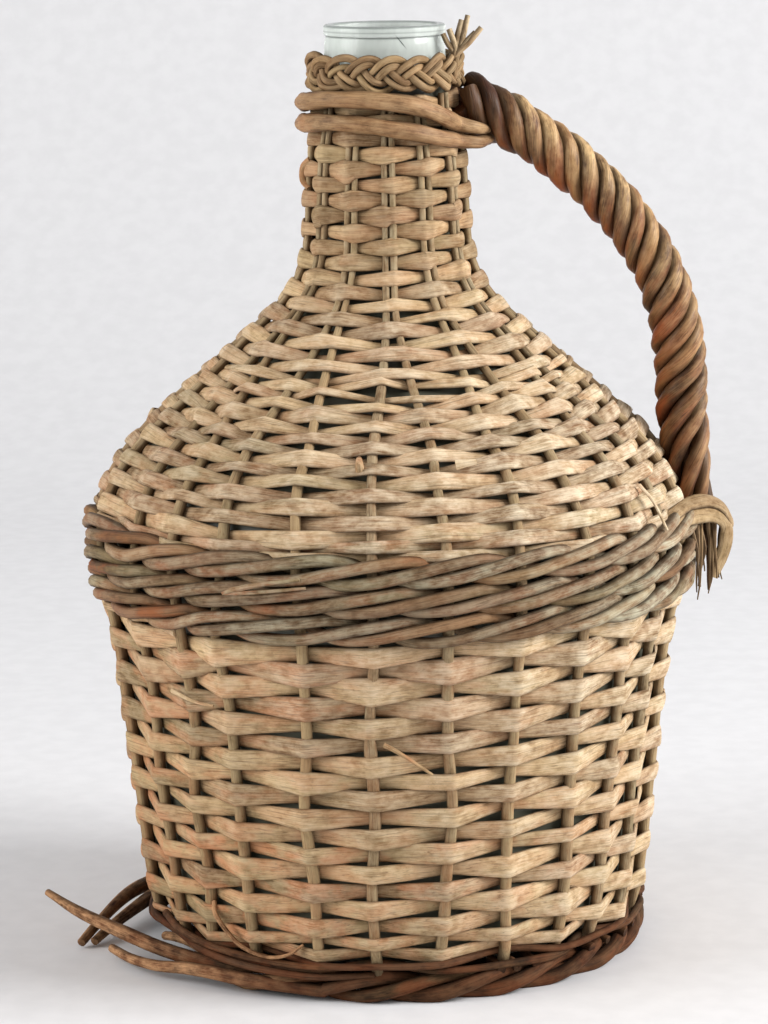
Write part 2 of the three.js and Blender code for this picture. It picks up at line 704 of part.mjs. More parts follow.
// Lashing: a rod over the outside of the handle's foot, its ends tucked down on the cover at each side
function lashingPoints() {
  const share = 1 - LASHING_RISE / handleLength;
  const along = handle.getTangentAt(share);
  const across = vec3(-along.z, 0, along.x);
  const off = ropeRadius * handleThin(share) + CLEAR + LASHING_ROD / 2;
  const steps = 10;
  const over = Array.from({ length: steps + 1 }, (_, i) => {
    const angle = lerp(-Math.PI / 2, Math.PI / 2, i / steps);
    return handle.getPointAt(share)
      .addScaledVector(across, off * Math.cos(angle))
      .addScaledVector(vec3(0, 1, 0), off * Math.sin(angle));
  });
  const seat = offCover(waleEnd + (WALE_ROD + LASHING_ROD) / 2, LASHING_ROD / 2);
  const end = (side) => polar(seat.x, side * rad(LASHING_SPREAD), seat.y);
  return [end(-1), ...over, end(1)];
}

// Assembly

const finish = (color, roughness, extra = {}) =>
  new THREE.MeshStandardMaterial({ color, roughness, metalness: 0, ...extra });
const glass = finish(0xb4c9c0, 0.06, { transparent: true, opacity: 0.4 });
const stakeWillow = finish(0x7a6a52, 0.8);
const stripWillow = finish(0xa08d72, 0.75);
const waleWillow = finish(0x8f6a47, 0.72);
const handleWillow = finish(0x7d5836, 0.7);
const footWillow = finish(0x4c3424, 0.8);
const plaitWillow = finish(0x8c7350, 0.78);

const demijohn = new THREE.Group();
function add(name, geometry, material) {
  const mesh = new THREE.Mesh(geometry, material);
  mesh.name = name;
  demijohn.add(mesh);
}

add("glass_bottle", glassGeometry(), glass);
for (let i = 0; i < STAKES; i++) {
  add(`stake_${String(i + 1).padStart(2, "0")}`, stakeGeometry(i), stakeWillow);
}
const neckJoin = lerp(knotLength[lastSingle], knotLength[lastSingle + 1], NECK_START);
const neckEnd = lengthAt(collarEnd - COLLAR_ROD / 2 - CLEAR);
const fields = {
  body_weaver: weave(bodyStart, waleStart, BODY_STRIP, 2, 1, CLEAR),
  shoulder_weaver: weave(waleEnd, neckJoin, SHOULDER_STRIP, 2, 1, CLEAR),
  neck_weaver: weave(neckJoin, neckEnd, NECK_STRIP, 1, 2, PAIR_EASE),
};
for (const [name, weavers] of Object.entries(fields)) {
  weavers.forEach((geometry, w) => add(`${name}_${w + 1}`, geometry, stripWillow));
}
for (let k = 0; k < 3; k++) {
  add(`belly_wale_${k + 1}`, wovenRod(waleSteps(k), WALE_ROD, 5), waleWillow);
}
for (let k = 0; k < 2; k++) {
  add(`foot_pairing_${k + 1}`, wovenRod(pairingSteps(k), PAIRING_ROD, 4), footWillow);
}
for (let strand = 0; strand < BORDER_STRANDS.length; strand++) {
  add(`foot_border_${strand + 1}`, borderGeometry(strand), footWillow);
}
add("base_weave", baseGeometry(), stripWillow);
for (const row of [-1, 0, 1]) {
  add(`base_slit_stick_${row + 2}`, slitStickGeometry(row), stakeWillow);
  add(`base_thread_stick_${row + 2}`, threadStickGeometry(row), stakeWillow);
}
for (let strand = 0; strand < 3; strand++) {
  add(`neck_plait_${strand + 1}`, plaitGeometry(strand), plaitWillow);
}
const collar = collarPoints();
add("neck_collar", rod(collar, () => COLLAR_ROD / 2, collarSides), handleWillow);
add("handle_core", handleCoreGeometry(), handleWillow);
for (let strand = 0; strand < HANDLE_STRANDS; strand++) {
  add(`handle_strand_${strand + 1}`, handleStrandGeometry(strand), handleWillow);
}
const lashing = lashingPoints();
add("handle_lashing", rod(lashing, () => LASHING_ROD / 2, 6), handleWillow);

const windings = {
  "neck collar": leastGap(collar, collarLoop, COLLAR_ROD),
};
for (const [name, gap] of Object.entries(windings)) {
  console.log(`${name}: least gap to itself ${gap.toFixed(2)} mm`);
}

export default demijohn;
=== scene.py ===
import math
from collections import namedtuple

import bpy
import numpy as np
from mathutils import Euler, Matrix


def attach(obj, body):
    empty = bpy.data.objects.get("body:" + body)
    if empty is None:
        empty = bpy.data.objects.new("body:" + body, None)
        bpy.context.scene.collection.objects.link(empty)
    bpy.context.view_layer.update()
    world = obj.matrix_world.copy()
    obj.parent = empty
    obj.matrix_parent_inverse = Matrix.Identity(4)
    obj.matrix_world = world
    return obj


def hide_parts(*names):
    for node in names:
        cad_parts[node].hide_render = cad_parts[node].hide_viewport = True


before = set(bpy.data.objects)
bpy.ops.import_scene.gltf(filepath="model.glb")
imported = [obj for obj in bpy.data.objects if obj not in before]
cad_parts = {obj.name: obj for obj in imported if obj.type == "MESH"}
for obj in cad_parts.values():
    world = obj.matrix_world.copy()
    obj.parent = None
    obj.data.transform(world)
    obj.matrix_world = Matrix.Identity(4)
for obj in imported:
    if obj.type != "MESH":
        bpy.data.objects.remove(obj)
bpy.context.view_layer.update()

# Wicker demijohn: a glass bottle in a woven willow cover with a roped handle. Lengths are in
# millimetres and become metres where a mesh is made. Angles run from the handle, seen from above.

MM = 0.001
TAU = 2 * math.pi
chance = np.random.default_rng(26)

# Glass
HEIGHT = 500.0
MOUTH_RADIUS = 31.6
NECK_LEAN = 2.76  # degrees that the neck's wall leans in
NECK_ROUND = 60.0
SHOULDER_SLOPE = 48.7  # degrees from level that the shoulder's surface faces up
BELLY_RADIUS, BELLY_HEIGHT, BELLY_ROUND = 152.0, 230.0, 69.0
BODY_TAPER = 6.3
HEEL_ROUND = 22.0
GLASS_BOTTOM = 14.1
GLASS_WALL = 4.0
PUNT_RISE, PUNT_RADIUS, PUNT_POINT = 16.0, 92.0, 0.5
LIP_TALL, LIP_PROUD, LIP_ROUND, RIM_ROUND = 6.0, 1.0, 1.6, 1.4
GLASS_STEP, GLASS_SIDES = 3.0, 128
GLASS_DARK, GLASS_CLEAR = 464.0, 480.0  # heights where the glass is covered, dark with dust and painted shade, and where it is free
# A short crack that slants down the front of the mouth: its slant, its height if it ran on to the
# axis, its middle, half its reach and half its width
CRACK_SLANT, CRACK_LEVEL, CRACK_MIDDLE, CRACK_REACH, CRACK_WIDE = 1.24, 502.7, 8.7, 3.6, 0.8

# Cover
STAKES = 26
STAKE_TURN = -5.5  # degrees from the handle to the middle between the last stake and the first
STAKE_FOOT, STAKE_SHOULDER, STAKE_NECK, STAKE_TIP = 6.4, 5.7, 3.84, 3.2  # thickness up a stake
PAIR_GAP = 0.6  # between the two stakes of a pair
COVER_STAND = 4.3  # from the glass to the middle of a stake
NECK_STAND, COLLAR_STAND = 6.2, 3.2
WALE_STAND = 2.6  # more of it behind the wale
FOOT_RADIUS, FOOT_MIDDLE, FOOT_TOP = 128.9, 7.6, 15.5
STAKE_TOP = 466.0
BODY_LOW, WALE_LOW, WALE_HIGH = 22.9, 197.2, 242.6
NECK_LOW, COLLAR_LOW, NECK_HIGH = 320.1, 443.0, 465.0
WALE_COVER = 4.0  # how far the rows run on behind the wale
PAIRS_FROM, PAIRS_TO = 290.0, 354.0  # heights between which the stakes close up into pairs
WALE_BEND_BELOW, WALE_BEND_ABOVE = 28.0, 26.0  # over which the stakes lean out behind the wale
COLLAR_BEND_BELOW, COLLAR_BEND_ABOVE = 14.0, 8.0  # over which they lean in under the collar
FOOT_BEND = 12.0  # above the foot's top, where they come to follow the glass
STAKE_EASINGS = 70  # times that a stake's bends are eased

# Strips
BODY_ROWS, SHOULDER_ROWS, NECK_ROWS = 18, 15, 20  # the part has 18, 12 and 18
STRIP_THICK, STRIP_LEAST = 1.9, 2.0  # thickness, and least width
STRIP_BITE = 0.3  # how far it beds into a stake
STRIP_START = 10  # stakes left out at both ends of a band, where a strip would be too narrow
STRIP_STAKES = (22, 46)  # about the fewest and the most stakes that one strip lasts
SWELL_FROM, SWELL_TO = 5, 3  # rows below the top of a band between which its strips may widen
# Where the shoulder's strips have shrunk and parted: its height and angle, its reach up and round
TORN_HEIGHT, TORN_ANGLE, TORN_TALL, TORN_WIDE = 315.6, 267.5, 10.0, 18.0
TORN_APART, TORN_EDGE, TORN_NARROW = 6.0, 4.0, 0.5  # how far, over which run, share of width lost

# Wale: three sets of three rods, each rod in front of two stakes and behind the third
WALE_ROD, WALE_SETS = 6.8, 3
WALE_SEAM = 2  # stake near which the lowest set starts
WALE_FRONT, WALE_BEHIND = 0.42, 0.3  # from a stake's face to the rod's middle, in rods
WALE_PASSING = 0.3  # share of its way out that is left where it goes in or comes out
# A rod's rise in its set, in heights of the set: at three stakes and at the middles after them
WALE_RISE = (-0.24, 0.0, 0.24, 0.33, 0.0, -0.33)

# Foot and base
PAIRING_ROD, PAIRING_PITCH, PAIRING_LIFT = 4.2, 4.0, 3.5  # the lift is above the foot's top
PAIRING_FRONT = 0.4  # from a stake's face to the rod's middle, in rods
BORDER_ROD, BORDER_LAY, BORDER_LAYS = 7.8, 5.0, 8  # thickness, off the middle, turns in the round
BORDER_TIP, BORDER_TIP_OVER = 0.62, 70.0  # share of its thickness at a sprung end
BUTT_ROD, BUTT_TUCK, BUTT_REACH = 5.2, 8.0, 6.5
BUTT_RISE = (0.5, 0.2, -1.4)  # above the foot's top, from inside the foot to the cut end
BASE_RADIUS, BASE_HOLE, BASE_MIDDLE = 117.0, 18.0, 12.0
BASE_ROD, BASE_GAP, BASE_WAVE = 4.2, 0.3, 0.7
STICK_MIDDLE, STICK_SPACING, STICK_WIDE, STICK_DEEP = 6.2, 9.0, 7.6, 5.2
STICK_RISE, STICK_RISE_OVER = 1.6, 30.0  # where a stick passes through the slit ones
STICK_SPREAD = 160.0  # run over which the sticks come to lie twice as far apart

# Neck
PLAIT_MIDDLE, PLAIT_RADIUS, PLAIT_SWING, PLAIT_DEPTH = 475.6, 38.9, 6.2, 1.92
PLAIT_PERIODS, PLAIT_ROD, PLAIT_PACK = 6, 3.9, 0.95  # the pack is from rod to rod, in rods
PLAIT_TAIL_ANGLE, PLAIT_TAIL = -24.0, 24.0
PLAIT_ROOT_OUT, PLAIT_ROOT_UP = 1.5, 8.0  # off the plait's middle, where its ends rise
PLAIT_TIPS_APART = (3.2, 0.0, 2.4)  # from tip to tip of the two rods in a strand
COLLAR_ROD, COLLAR_RADIUS = 9.4, 43.4
COLLAR_TIP, COLLAR_TIP_OVER = 0.55, 30.0

# Handle
HANDLE_TOP, HANDLE_GRIP, HANDLE_FOOT = (50.0, 455.5), (158.0, 308.0), (167.0, 221.0)
HANDLE_DIP, HANDLE_LEAN = 26.0, 6.0  # degrees from level at the neck, and from upright at the foot
HANDLE_NECK_PULL, HANDLE_GRIP_PULL, HANDLE_RUN = 50.0, 80.0, 34.0
HANDLE_TUCK, HANDLE_BURIED = 18.0, 8.0  # run of the upper end inside the neck, and of its heart alone
HANDLE_LEAD, HANDLE_LAY, HANDLE_STRANDS = 62.0, 9.4, 5
HANDLE_STRAND_WIDE, HANDLE_STRAND_DEEP, HANDLE_HEART = 9.2, 9.6, 9.4
HANDLE_ROOT, HANDLE_ROOT_OVER = 1.12, 50.0  # share of its thickness where it leaves the neck
HANDLE_THIN, HANDLE_THIN_OVER = 0.72, 60.0
HANDLE_STRAIGHT = 90.0  # run above the foot over which the strands straighten
HANDLE_SLACK = 0.25  # share of their lay that is left at the foot
HANDLE_FRAY = 174.0  # radius at which the strands' ends hang down over the wale
HANDLE_TAIL, HANDLE_TAIL_OUT = 34.0, 14.0  # drop of such an end, and the part over which it goes out
HANDLE_TAIL_THICK, HANDLE_TAIL_TIP = 6.2, 1.2
LASHING_WIDE, LASHING_DEEP = 9.0, 4.8
LASHING_FACE = 14.0  # how far to the side the end that hangs down faces
LASHING_FRAY_TOP, LASHING_FRAY_THICK, LASHING_FRAY_TIP = 232.0, 3.0, 0.7

# Floor, light and camera, in metres, watts and degrees
FLOOR_FRONT, FLOOR_BACK, FLOOR_BEND, FLOOR_TALL, FLOOR_WIDE = -3.5, 2.1, 0.9, 3.5, 8.0
SKY_STRENGTH, LAMP_TONE = 0.36, (1, 0.99, 0.98)
# Each lamp's place, size and strength
LAMPS = {"window": ((2.3, -0.55, 1.5), 1.3, 82), "bounce": ((-2.2, -0.7, 1.25), 1.6, 44)}
CAMERA_PLACE = (0.0, -1.95, 0.61)
CAMERA_DOWN, CAMERA_LEFT, CAMERA_ROLL = 10.87, 0.11, -0.8
CAMERA_FOCUS = 3640 / 1024  # in heights of the picture
SENSOR = 36.0  # in millimetres

# How finely lines and meshes are worked out
LINE_STEP, ROD_STEP, BORDER_STEP, HANDLE_STEP, FINE_STEP, BIT_STEP = 1.0, 4.0, 3.0, 2.5, 2.0, 1.5
CURVE_STEPS = 24  # from one given point of a smooth line to the next
BEZIER_STEPS, BORDER_STEPS, PLAIT_STEPS, TAIL_STEPS = 40, 160, 300, 14
CREASE, GLASS_CREASE, STRIP_CREASE = 50, 40, 62  # degrees past which an edge looks sharp


# Shapes along a line


def facing(degrees):
    return np.array([math.cos(math.radians(degrees)), math.sin(math.radians(degrees))])


def arc(centre, radius, start, end, steps=32):
    turn = np.radians(np.linspace(start, end, steps))
    return np.asarray(centre) + radius * np.stack([np.cos(turn), np.sin(turn)], axis=1)


def run_of(points):
    """Length along a line up to each of its points."""
    return np.concatenate([[0], np.cumsum(np.linalg.norm(np.diff(points, axis=0), axis=1))])


def read_off(table, marks, places):
    """Rows of a table at places between its rows' marks."""
    return np.stack([np.interp(places, marks, column) for column in table.T], axis=1)


def evenly(points, step):
    """The same line with points at even steps."""
    points = np.asarray(points, float)
    run = run_of(points)
    return read_off(points, run, np.linspace(0, run[-1], max(2, round(run[-1] / step) + 1)))


def unit(vectors):
    return vectors / np.linalg.norm(vectors, axis=-1, keepdims=True)


def run_on(line):
    """A line with one more point at each end, straight on."""
    return np.pad(line, ((1, 1), (0, 0)), mode="reflect", reflect_type="odd")


def softened(line, times):
    """A line with its corners eased, its ends kept."""
    for _ in range(times):
        longer = run_on(line)
        line = (longer[:-2] + 2 * line + longer[2:]) / 4
    return line


def bent_through(points, step):
    """A smooth line through a few points."""
    points = np.asarray(points, float)
    longer = run_on(points)
    bits = []
    for a, b, c, d in zip(longer, longer[1:], longer[2:], longer[3:]):
        t = np.linspace(0, 1, CURVE_STEPS, endpoint=False)[:, None]
        bits.append(0.5 * (2 * b + (c - a) * t + (2 * a - 5 * b + 4 * c - d) * t ** 2
                           + (3 * b - a - 3 * c + d) * t ** 3))
    return evenly(np.concatenate([*bits, points[-1:]]), step)


def bezier(a, b, c, d):
    t = np.linspace(0, 1, BEZIER_STEPS)[:, None]
    a, b, c, d = (np.asarray(point, float) for point in (a, b, c, d))
    return a * (1 - t) ** 3 + 3 * b * t * (1 - t) ** 2 + 3 * c * t ** 2 * (1 - t) + d * t ** 3


def drift(places, reach, size):
    """Smooth random drift at places along a piece: it changes over the reach, by about the size."""
    places = np.asarray(places, float)
    marks = np.arange(places.min() - reach, places.max() + 2 * reach, reach)
    values = chance.normal(0, size, len(marks))
    share = (places - marks[0]) / reach
    mark = np.minimum(share.astype(int), len(marks) - 2)
    share = share - mark
    share = share * share * (3 - 2 * share)
    return values[mark] * (1 - share) + values[mark + 1] * share


# Cover line: the middle of a stake, as radius and height, from the foot to the neck


def glass_side():
    belly = np.array([BELLY_RADIUS - BELLY_ROUND, BELLY_HEIGHT])
    wall, slope, lean = facing(-BODY_TAPER), facing(SHOULDER_SLOPE), facing(NECK_LEAN)
    heel_height = GLASS_BOTTOM + HEEL_ROUND
    heel = (wall @ belly + BELLY_ROUND - HEEL_ROUND - wall[1] * heel_height) / wall[0]
    mouth = np.array([MOUTH_RADIUS, HEIGHT])
    neck = np.linalg.solve(
        [slope, lean], [slope @ belly + BELLY_ROUND + NECK_ROUND, lean @ mouth + NECK_ROUND])
    return evenly(np.concatenate([
        arc((heel, heel_height), HEEL_ROUND, -90, -BODY_TAPER),
        arc(belly, BELLY_ROUND, -BODY_TAPER, SHOULDER_SLOPE),
        arc(neck, NECK_ROUND, 180 + SHOULDER_SLOPE, 180 + NECK_LEAN),
        [mouth],
    ]), LINE_STEP)


def outward_of(line):
    along = unit(np.gradient(line, axis=0))
    return np.stack([along[:, 1], -along[:, 0]], axis=1)


def stake_line():
    glass = glass_side()
    height = glass[:, 1]
    collar = [COLLAR_LOW - COLLAR_BEND_BELOW, COLLAR_LOW + COLLAR_BEND_ABOVE]
    stand = np.interp(height, [PAIRS_FROM, PAIRS_TO, *collar],
                      [COVER_STAND, NECK_STAND, NECK_STAND, COLLAR_STAND])
    wale_heights = [WALE_LOW - WALE_BEND_BELOW, WALE_LOW, WALE_HIGH, WALE_HIGH + WALE_BEND_ABOVE]
    stand = stand + WALE_STAND * np.interp(height, wale_heights, [0, 1, 1, 0])
    line = glass + outward_of(glass) * stand[:, None]
    line = line[(line[:, 1] > FOOT_TOP + FOOT_BEND) & (line[:, 1] < STAKE_TOP)]
    line = evenly(np.concatenate([[(FOOT_RADIUS, FOOT_TOP)], line]), LINE_STEP)
    return softened(line, STAKE_EASINGS)


STAKE_LINE = stake_line()
STAKE_OUT = outward_of(STAKE_LINE)
STAKE_RUN = run_of(STAKE_LINE)


def run_at(height):
    return np.interp(height, STAKE_LINE[:, 1], STAKE_RUN)


def along_stake(table, run):
    return [np.interp(run, STAKE_RUN, column) for column in table.T]


def round_axis(radius, height, angle):
    """Radius and height, turned to an angle about the bottle's axis."""
    radius, height, angle = np.broadcast_arrays(radius, height, angle)
    return np.stack([radius * np.cos(angle), radius * np.sin(angle), height], axis=-1)


def on_cover(run, angle, off):
    (radius, height), (out, up) = along_stake(STAKE_LINE, run), along_stake(STAKE_OUT, run)
    return round_axis(radius + out * off, height + up * off, angle)


def out_of_cover(run, angle):
    return unit(round_axis(*along_stake(STAKE_OUT, run), angle))


def stake_thick(run):
    places = [0, run_at(PAIRS_FROM), run_at(PAIRS_TO), STAKE_RUN[-1]]
    return np.interp(run, places, [STAKE_FOOT, STAKE_SHOULDER, STAKE_NECK, STAKE_TIP])


# Stakes are never quite evenly spaced: degrees by which some stand off their places
STAKE_SHIFT = np.zeros(STAKES)
STAKE_SHIFT[14:24] = [-2.0, 2.0, 0.8, -1.4, 0.7, 1.3, 2.2, 2.6, 3.2, 2.4]
STAKE_WANDER = np.stack([drift(STAKE_RUN, 45, 0.75) for _ in range(STAKES)])


def stake_angle(number, run):
    """Angle of a stake at a run up it; the number goes on counting past a whole turn."""
    stake = number % STAKES
    step = TAU / STAKES
    turn = math.radians(STAKE_TURN)
    single = turn + (number + 0.5) * step + np.radians(
        STAKE_SHIFT[stake] + np.interp(run, STAKE_RUN, STAKE_WANDER[stake]))
    apart = (stake_thick(run) + PAIR_GAP) / 2 / along_stake(STAKE_LINE, run)[0]
    paired = turn + 2 * math.ceil(number / 2) * step + (apart if number % 2 == 0 else -apart)
    close = np.interp(run, [run_at(PAIRS_FROM), run_at(PAIRS_TO)], [0, 1])
    return single * (1 - close) + paired * close


def stake_angles(numbers, runs):
    return np.array([float(stake_angle(int(number), run)) for number, run in zip(numbers, runs)])


# Willow lengths


def round_section(sides):
    """A round of thickness 1."""
    angle = np.arange(sides) * TAU / sides
    return 0.5 * np.stack([np.cos(angle), np.sin(angle)], axis=1)


def twisted_section(path, sides, lobes, lobe, lead):
    """A round section whose ridges turn along the path, as in a rod that was twisted soft."""
    angle = np.arange(sides) * TAU / sides
    ridge = 1 + lobe * np.cos(lobes * (angle - TAU * run_of(path)[:, None] / lead))
    return round_section(sides) * ridge[..., None]


# Split willow: flat where it was split, with the rod's round bark side out
STRIP_SECTION = np.array([
    (-0.5, 0.1), (-0.46, 0), (0.46, 0), (0.5, 0.1), (0.47, 0.55), (0.33, 0.86), (0.12, 1.0),
    (-0.12, 1.0), (-0.33, 0.86), (-0.47, 0.55)])


class Wicker:
    """Willow lengths gathered into one piece, with the grain and the tint along each of them."""

    def __init__(self):
        self.points, self.grain, self.tint, self.corners, self.sides = [], [], [], [], []
        self.count = 0

    def lay(self, path, outward, wide, deep, section, tint):
        """Sweeps a section along a path; the section's second number points outward."""
        rings, sides = len(path), section.shape[-2]
        along = unit(np.gradient(path, axis=0))
        outward = np.broadcast_to(outward, path.shape)
        outward = unit(outward - along * np.sum(outward * along, axis=1, keepdims=True))
        across = np.cross(outward, along)
        section = np.broadcast_to(section, (rings, sides, 2))
        side = section[..., :1] * np.broadcast_to(wide, rings)[:, None, None]
        rise = section[..., 1:] * np.broadcast_to(deep, rings)[:, None, None]
        run = np.broadcast_to(run_of(path)[:, None, None], side.shape)
        points = path[:, None] + across[:, None] * side + outward[:, None] * rise
        self.skin(points, np.concatenate([run, side, rise], axis=-1), tint)

    def skin(self, points, grain, tint):
        """Closes rings of points into a solid; the tint has one value or one for each ring."""
        rings, sides = points.shape[:2]
        self.points.append(points.reshape(-1, 3))
        self.grain.append(grain.reshape(-1, 3))
        tint = np.broadcast_to(np.stack(np.broadcast_arrays(*tint), axis=-1), (rings, 3))
        self.tint.append(np.repeat(tint, sides, axis=0))
        ring = np.arange(rings - 1)[:, None] * sides
        here = np.arange(sides)[None]
        then = (here + 1) % sides
        quads = np.stack([ring + here, ring + then, ring + sides + then, ring + sides + here], -1)
        ends = [np.arange(sides)[::-1], (rings - 1) * sides + np.arange(sides)]
        self.corners += [quads.ravel() + self.count] + [end + self.count for end in ends]
        self.sides += [4] * (quads.size // 4) + [sides, sides]
        self.count += rings * sides

    def paint_crevice_shade(self, depth):
        """Sinks the last length's grain ring by ring, so that it takes painted shade as a crevice does.
        """
        grain = self.grain[-1]
        grain[:, 2] -= np.repeat(depth, len(grain) // len(depth))

    def rod(self, path, outward, thick, tint, sides=8):
        self.lay(path, outward, thick, thick, round_section(sides), tint)

    def mesh(self, name, crease):
        mesh = bpy.data.meshes.new(name)
        corners = np.concatenate(self.corners)
        mesh.vertices.add(self.count)
        mesh.vertices.foreach_set("co", np.concatenate(self.points).ravel() * MM)
        mesh.loops.add(len(corners))
        mesh.loops.foreach_set("vertex_index", corners.astype(np.int32))
        mesh.polygons.add(len(self.sides))
        starts = np.concatenate([[0], np.cumsum(self.sides)[:-1]]).astype(np.int32)
        mesh.polygons.foreach_set("loop_start", starts)
        mesh.polygons.foreach_set("use_smooth", np.ones(len(self.sides), bool))
        for label, values in (("grain", self.grain), ("tint", self.tint)):
            layer = mesh.attributes.new(label, "FLOAT_VECTOR", "POINT")
            layer.data.foreach_set("vector", np.concatenate(values).ravel())
        mesh.update(calc_edges=True)
        mesh.set_sharp_from_angle(angle=math.radians(crease))
        return mesh


BIT_RISE = 2.5  # clear of the painted shade between the rods
BIT_TIP = 0.55  # share of its width that is left at its end
# Bits that the photograph shows on a piece: places on the cover as angle, height and how far off
# the middle of the stakes, then the width and depth there, and the tint
LOOSE_BITS = {
    "shoulder_strips_1": (
        # Cut end of a rod, a square cut strip and a split that leans
        (((-96.5, 282, 0), (-96.5, 282.4, 4.5), (-96.5, 282.8, 8.8)), 5.6, 5.6, (0.45, 0.5, 0.3)),
        (((-76, 282, 4.0), (-73.5, 282, 5.3), (-71.6, 282, 5.8)), 5.2, 1.8, (0.9, 0.0, 0.9)),
        (((-31.4, 262, 3.0), (-31.2, 252, 6.6), (-30.9, 239, 10.0)), 3.0, 1.4, (0.8, 0.3, 1.2)),
    ),
    "body_strips_1": (
        (((-92, 144, 3.6), (-88.9, 140, 5.6), (-82.6, 128, 6.0)), 2.6, 1.5, (0.4, 0.9, 0.1)),
        (((-139, 162, 4.2), (-132, 160, 6.2), (-127, 159, 5.6)), 2.6, 1.4, (0.7, 0.6, 0.35)),
    ),
    "wale_rod_1": (
        # Light splits
        (((-121.5, 222.5, 6.5), (-114, 228.5, 9.8), (-106, 232, 9.2)), 3.4, 2.0, (1.0, 1.2, 0.55)),
        (((-121, 222, 6.5), (-113, 225.5, 9.8), (-105, 228.3, 9.0)), 2.6, 1.8, (0.8, 1.2, 0.6)),
    ),
    "neck_strips_1": (
        (((-167, 429, 0.5), (-171, 425, 3.4), (-171, 418, 3.4), (-167, 414, 0.5)),
         4.6, 3.6, (0.3, 0.45, 0.1)),
    ),
    "pairing_rod_1": (
        (((-134.5, 46, 1.0), (-132, 40, 5.6), (-126, 28.5, 7.0), (-119, 25, 7.4), (-114, 27, 6.0),
          (-111, 31, 2.0)), 2.8, 2.6, (0.7, 0.4, 1.6)),
    ),
    "pairing_rod_2": (
        (((-158, 26, 2.0), (-145, 25, 6.0), (-130, 23.5, 7.5), (-112, 22, 7.0), (-98, 21, 4.0)),
         4.6, 4.2, (0.4, 0.7, 0.2)),
        (((-150, 20, 3.0), (-138, 19, 7.0), (-124, 18, 8.5), (-108, 17, 8.0), (-95, 17, 4.0)),
         5.0, 4.6, (0.3, 0.6, 0.1)),
    ),
}


def put(name, data):
    thing = bpy.data.objects.new(name, data)
    bpy.context.collection.objects.link(thing)
    return thing


def set_out(name, wicker, finish, slot, *nodes, crease=CREASE):
    """Makes the piece that stands for some of the part's nodes."""
    for places, wide, deep, look in LOOSE_BITS.get(name, ()):
        angle, height, off = np.array(places, float).T
        run, angle = run_at(height), np.radians(angle)
        path = bent_through(on_cover(run, angle, off), BIT_STEP)
        outward = unit(path * [1, 1, 0]) + out_of_cover(run, angle).mean(axis=0)
        wide = wide * np.linspace(1, BIT_TIP, len(path))
        wicker.lay(path, outward, wide, deep, round_section(10), look)
        wicker.grain[-1][:, 2] += BIT_RISE
    piece = put(name, wicker.mesh(name, crease))
    piece.data.materials.append(finish)
    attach(piece, "root")
    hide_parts(*nodes)


# Finishes


def colour(red, green, blue):
    """A colour as it is seen on a screen, from 0 to 255."""
    def linear(value):
        value /= 255
        return value / 12.92 if value <= 0.04045 else ((value + 0.055) / 1.055) ** 2.4
    return (linear(red), linear(green), linear(blue), 1.0)


class Value:
    """A value in a finish; sums, differences and products of values add their own nodes."""

    def __init__(self, finish, socket):
        self.finish, self.socket = finish, socket

    def maths(self, operation, first, second):
        return self.finish.add("ShaderNodeMath", {"operation": operation}, {0: first, 1: second})

    def __add__(self, other):
        return self.maths("ADD", self, other)

    def __sub__(self, other):
        return self.maths("SUBTRACT", self, other)

    def __mul__(self, other):
        return self.maths("MULTIPLY", self, other)

    def __rsub__(self, other):
        return self.maths("SUBTRACT", other, self)

    __radd__, __rmul__ = __add__, __mul__

    def between(self, low, high):
        """0 below the low value, 1 above the high one, and eased in between."""
        return self.finish.add("ShaderNodeMapRange", {"interpolation_type": "SMOOTHSTEP"},
                               {"Value": self, "From Min": low, "From Max": high})

    def line(self, level, half):
        """1 at a level, and nothing past half a line's width to either side of it."""
        return self.between(level - half, level) * (1 - self.between(level, level + half))


class Finish:
    """A material and the nodes that make it."""

    def __init__(self, name):
        self.material = bpy.data.materials.new(name)
        self.material.use_nodes = True
        self.tree = self.material.node_tree
        self.surface = self.tree.nodes["Principled BSDF"]

    def add(self, kind, settings, inputs, output=0):
        node = self.tree.nodes.new(kind)
        for name, setting in settings.items():
            setattr(node, name, setting)
        for name, value in inputs.items():
            self.join(node.inputs[name], value)
        return Value(self, node.outputs[output])

    def join(self, socket, value):
        if isinstance(value, Value):
            self.tree.links.new(value.socket, socket)
        else:
            socket.default_value = value

    def give(self, **inputs):
        for name, value in inputs.items():
            self.join(self.surface.inputs[name.replace("_", " ")], value)

    def blend(self, share, other):
        """Shows another surface for a share of this one."""
        first = Value(self, self.surface.outputs[0])
        both = self.add("ShaderNodeMixShader", {}, {0: share, 1: first, 2: other})
        self.join(self.tree.nodes["Material Output"].inputs[0], both)

    def mix(self, share, first, second):
        return self.add("ShaderNodeMix", {"data_type": "RGBA"}, {0: share, 6: first, 7: second}, 2)

    def stretched(self, vector, size):
        return self.add("ShaderNodeVectorMath", {"operation": "MULTIPLY"}, {0: vector, 1: size})

    def noise(self, vector, seed, detail, rough=0.5):
        inputs = {"Vector": vector, "W": seed, "Scale": 1.0, "Detail": detail, "Roughness": rough}
        return self.add("ShaderNodeTexNoise", {"noise_dimensions": "4D"}, inputs)

    def bump(self, height, strength, distance):
        return self.add("ShaderNodeBump", {},
                        {"Strength": strength, "Distance": distance, "Height": height})

    def place(self):
        return self.add("ShaderNodeTexCoord", {}, {}, "Object")

    def layer(self, name):
        return self.add("ShaderNodeAttribute", {"attribute_name": name}, {}, 1)

    def parts(self, vector):
        node = self.add("ShaderNodeSeparateXYZ", {}, {0: vector}).socket.node
        return [Value(self, output) for output in node.outputs]


MOSSY, RUDDY = colour(134, 128, 88), colour(192, 148, 116)


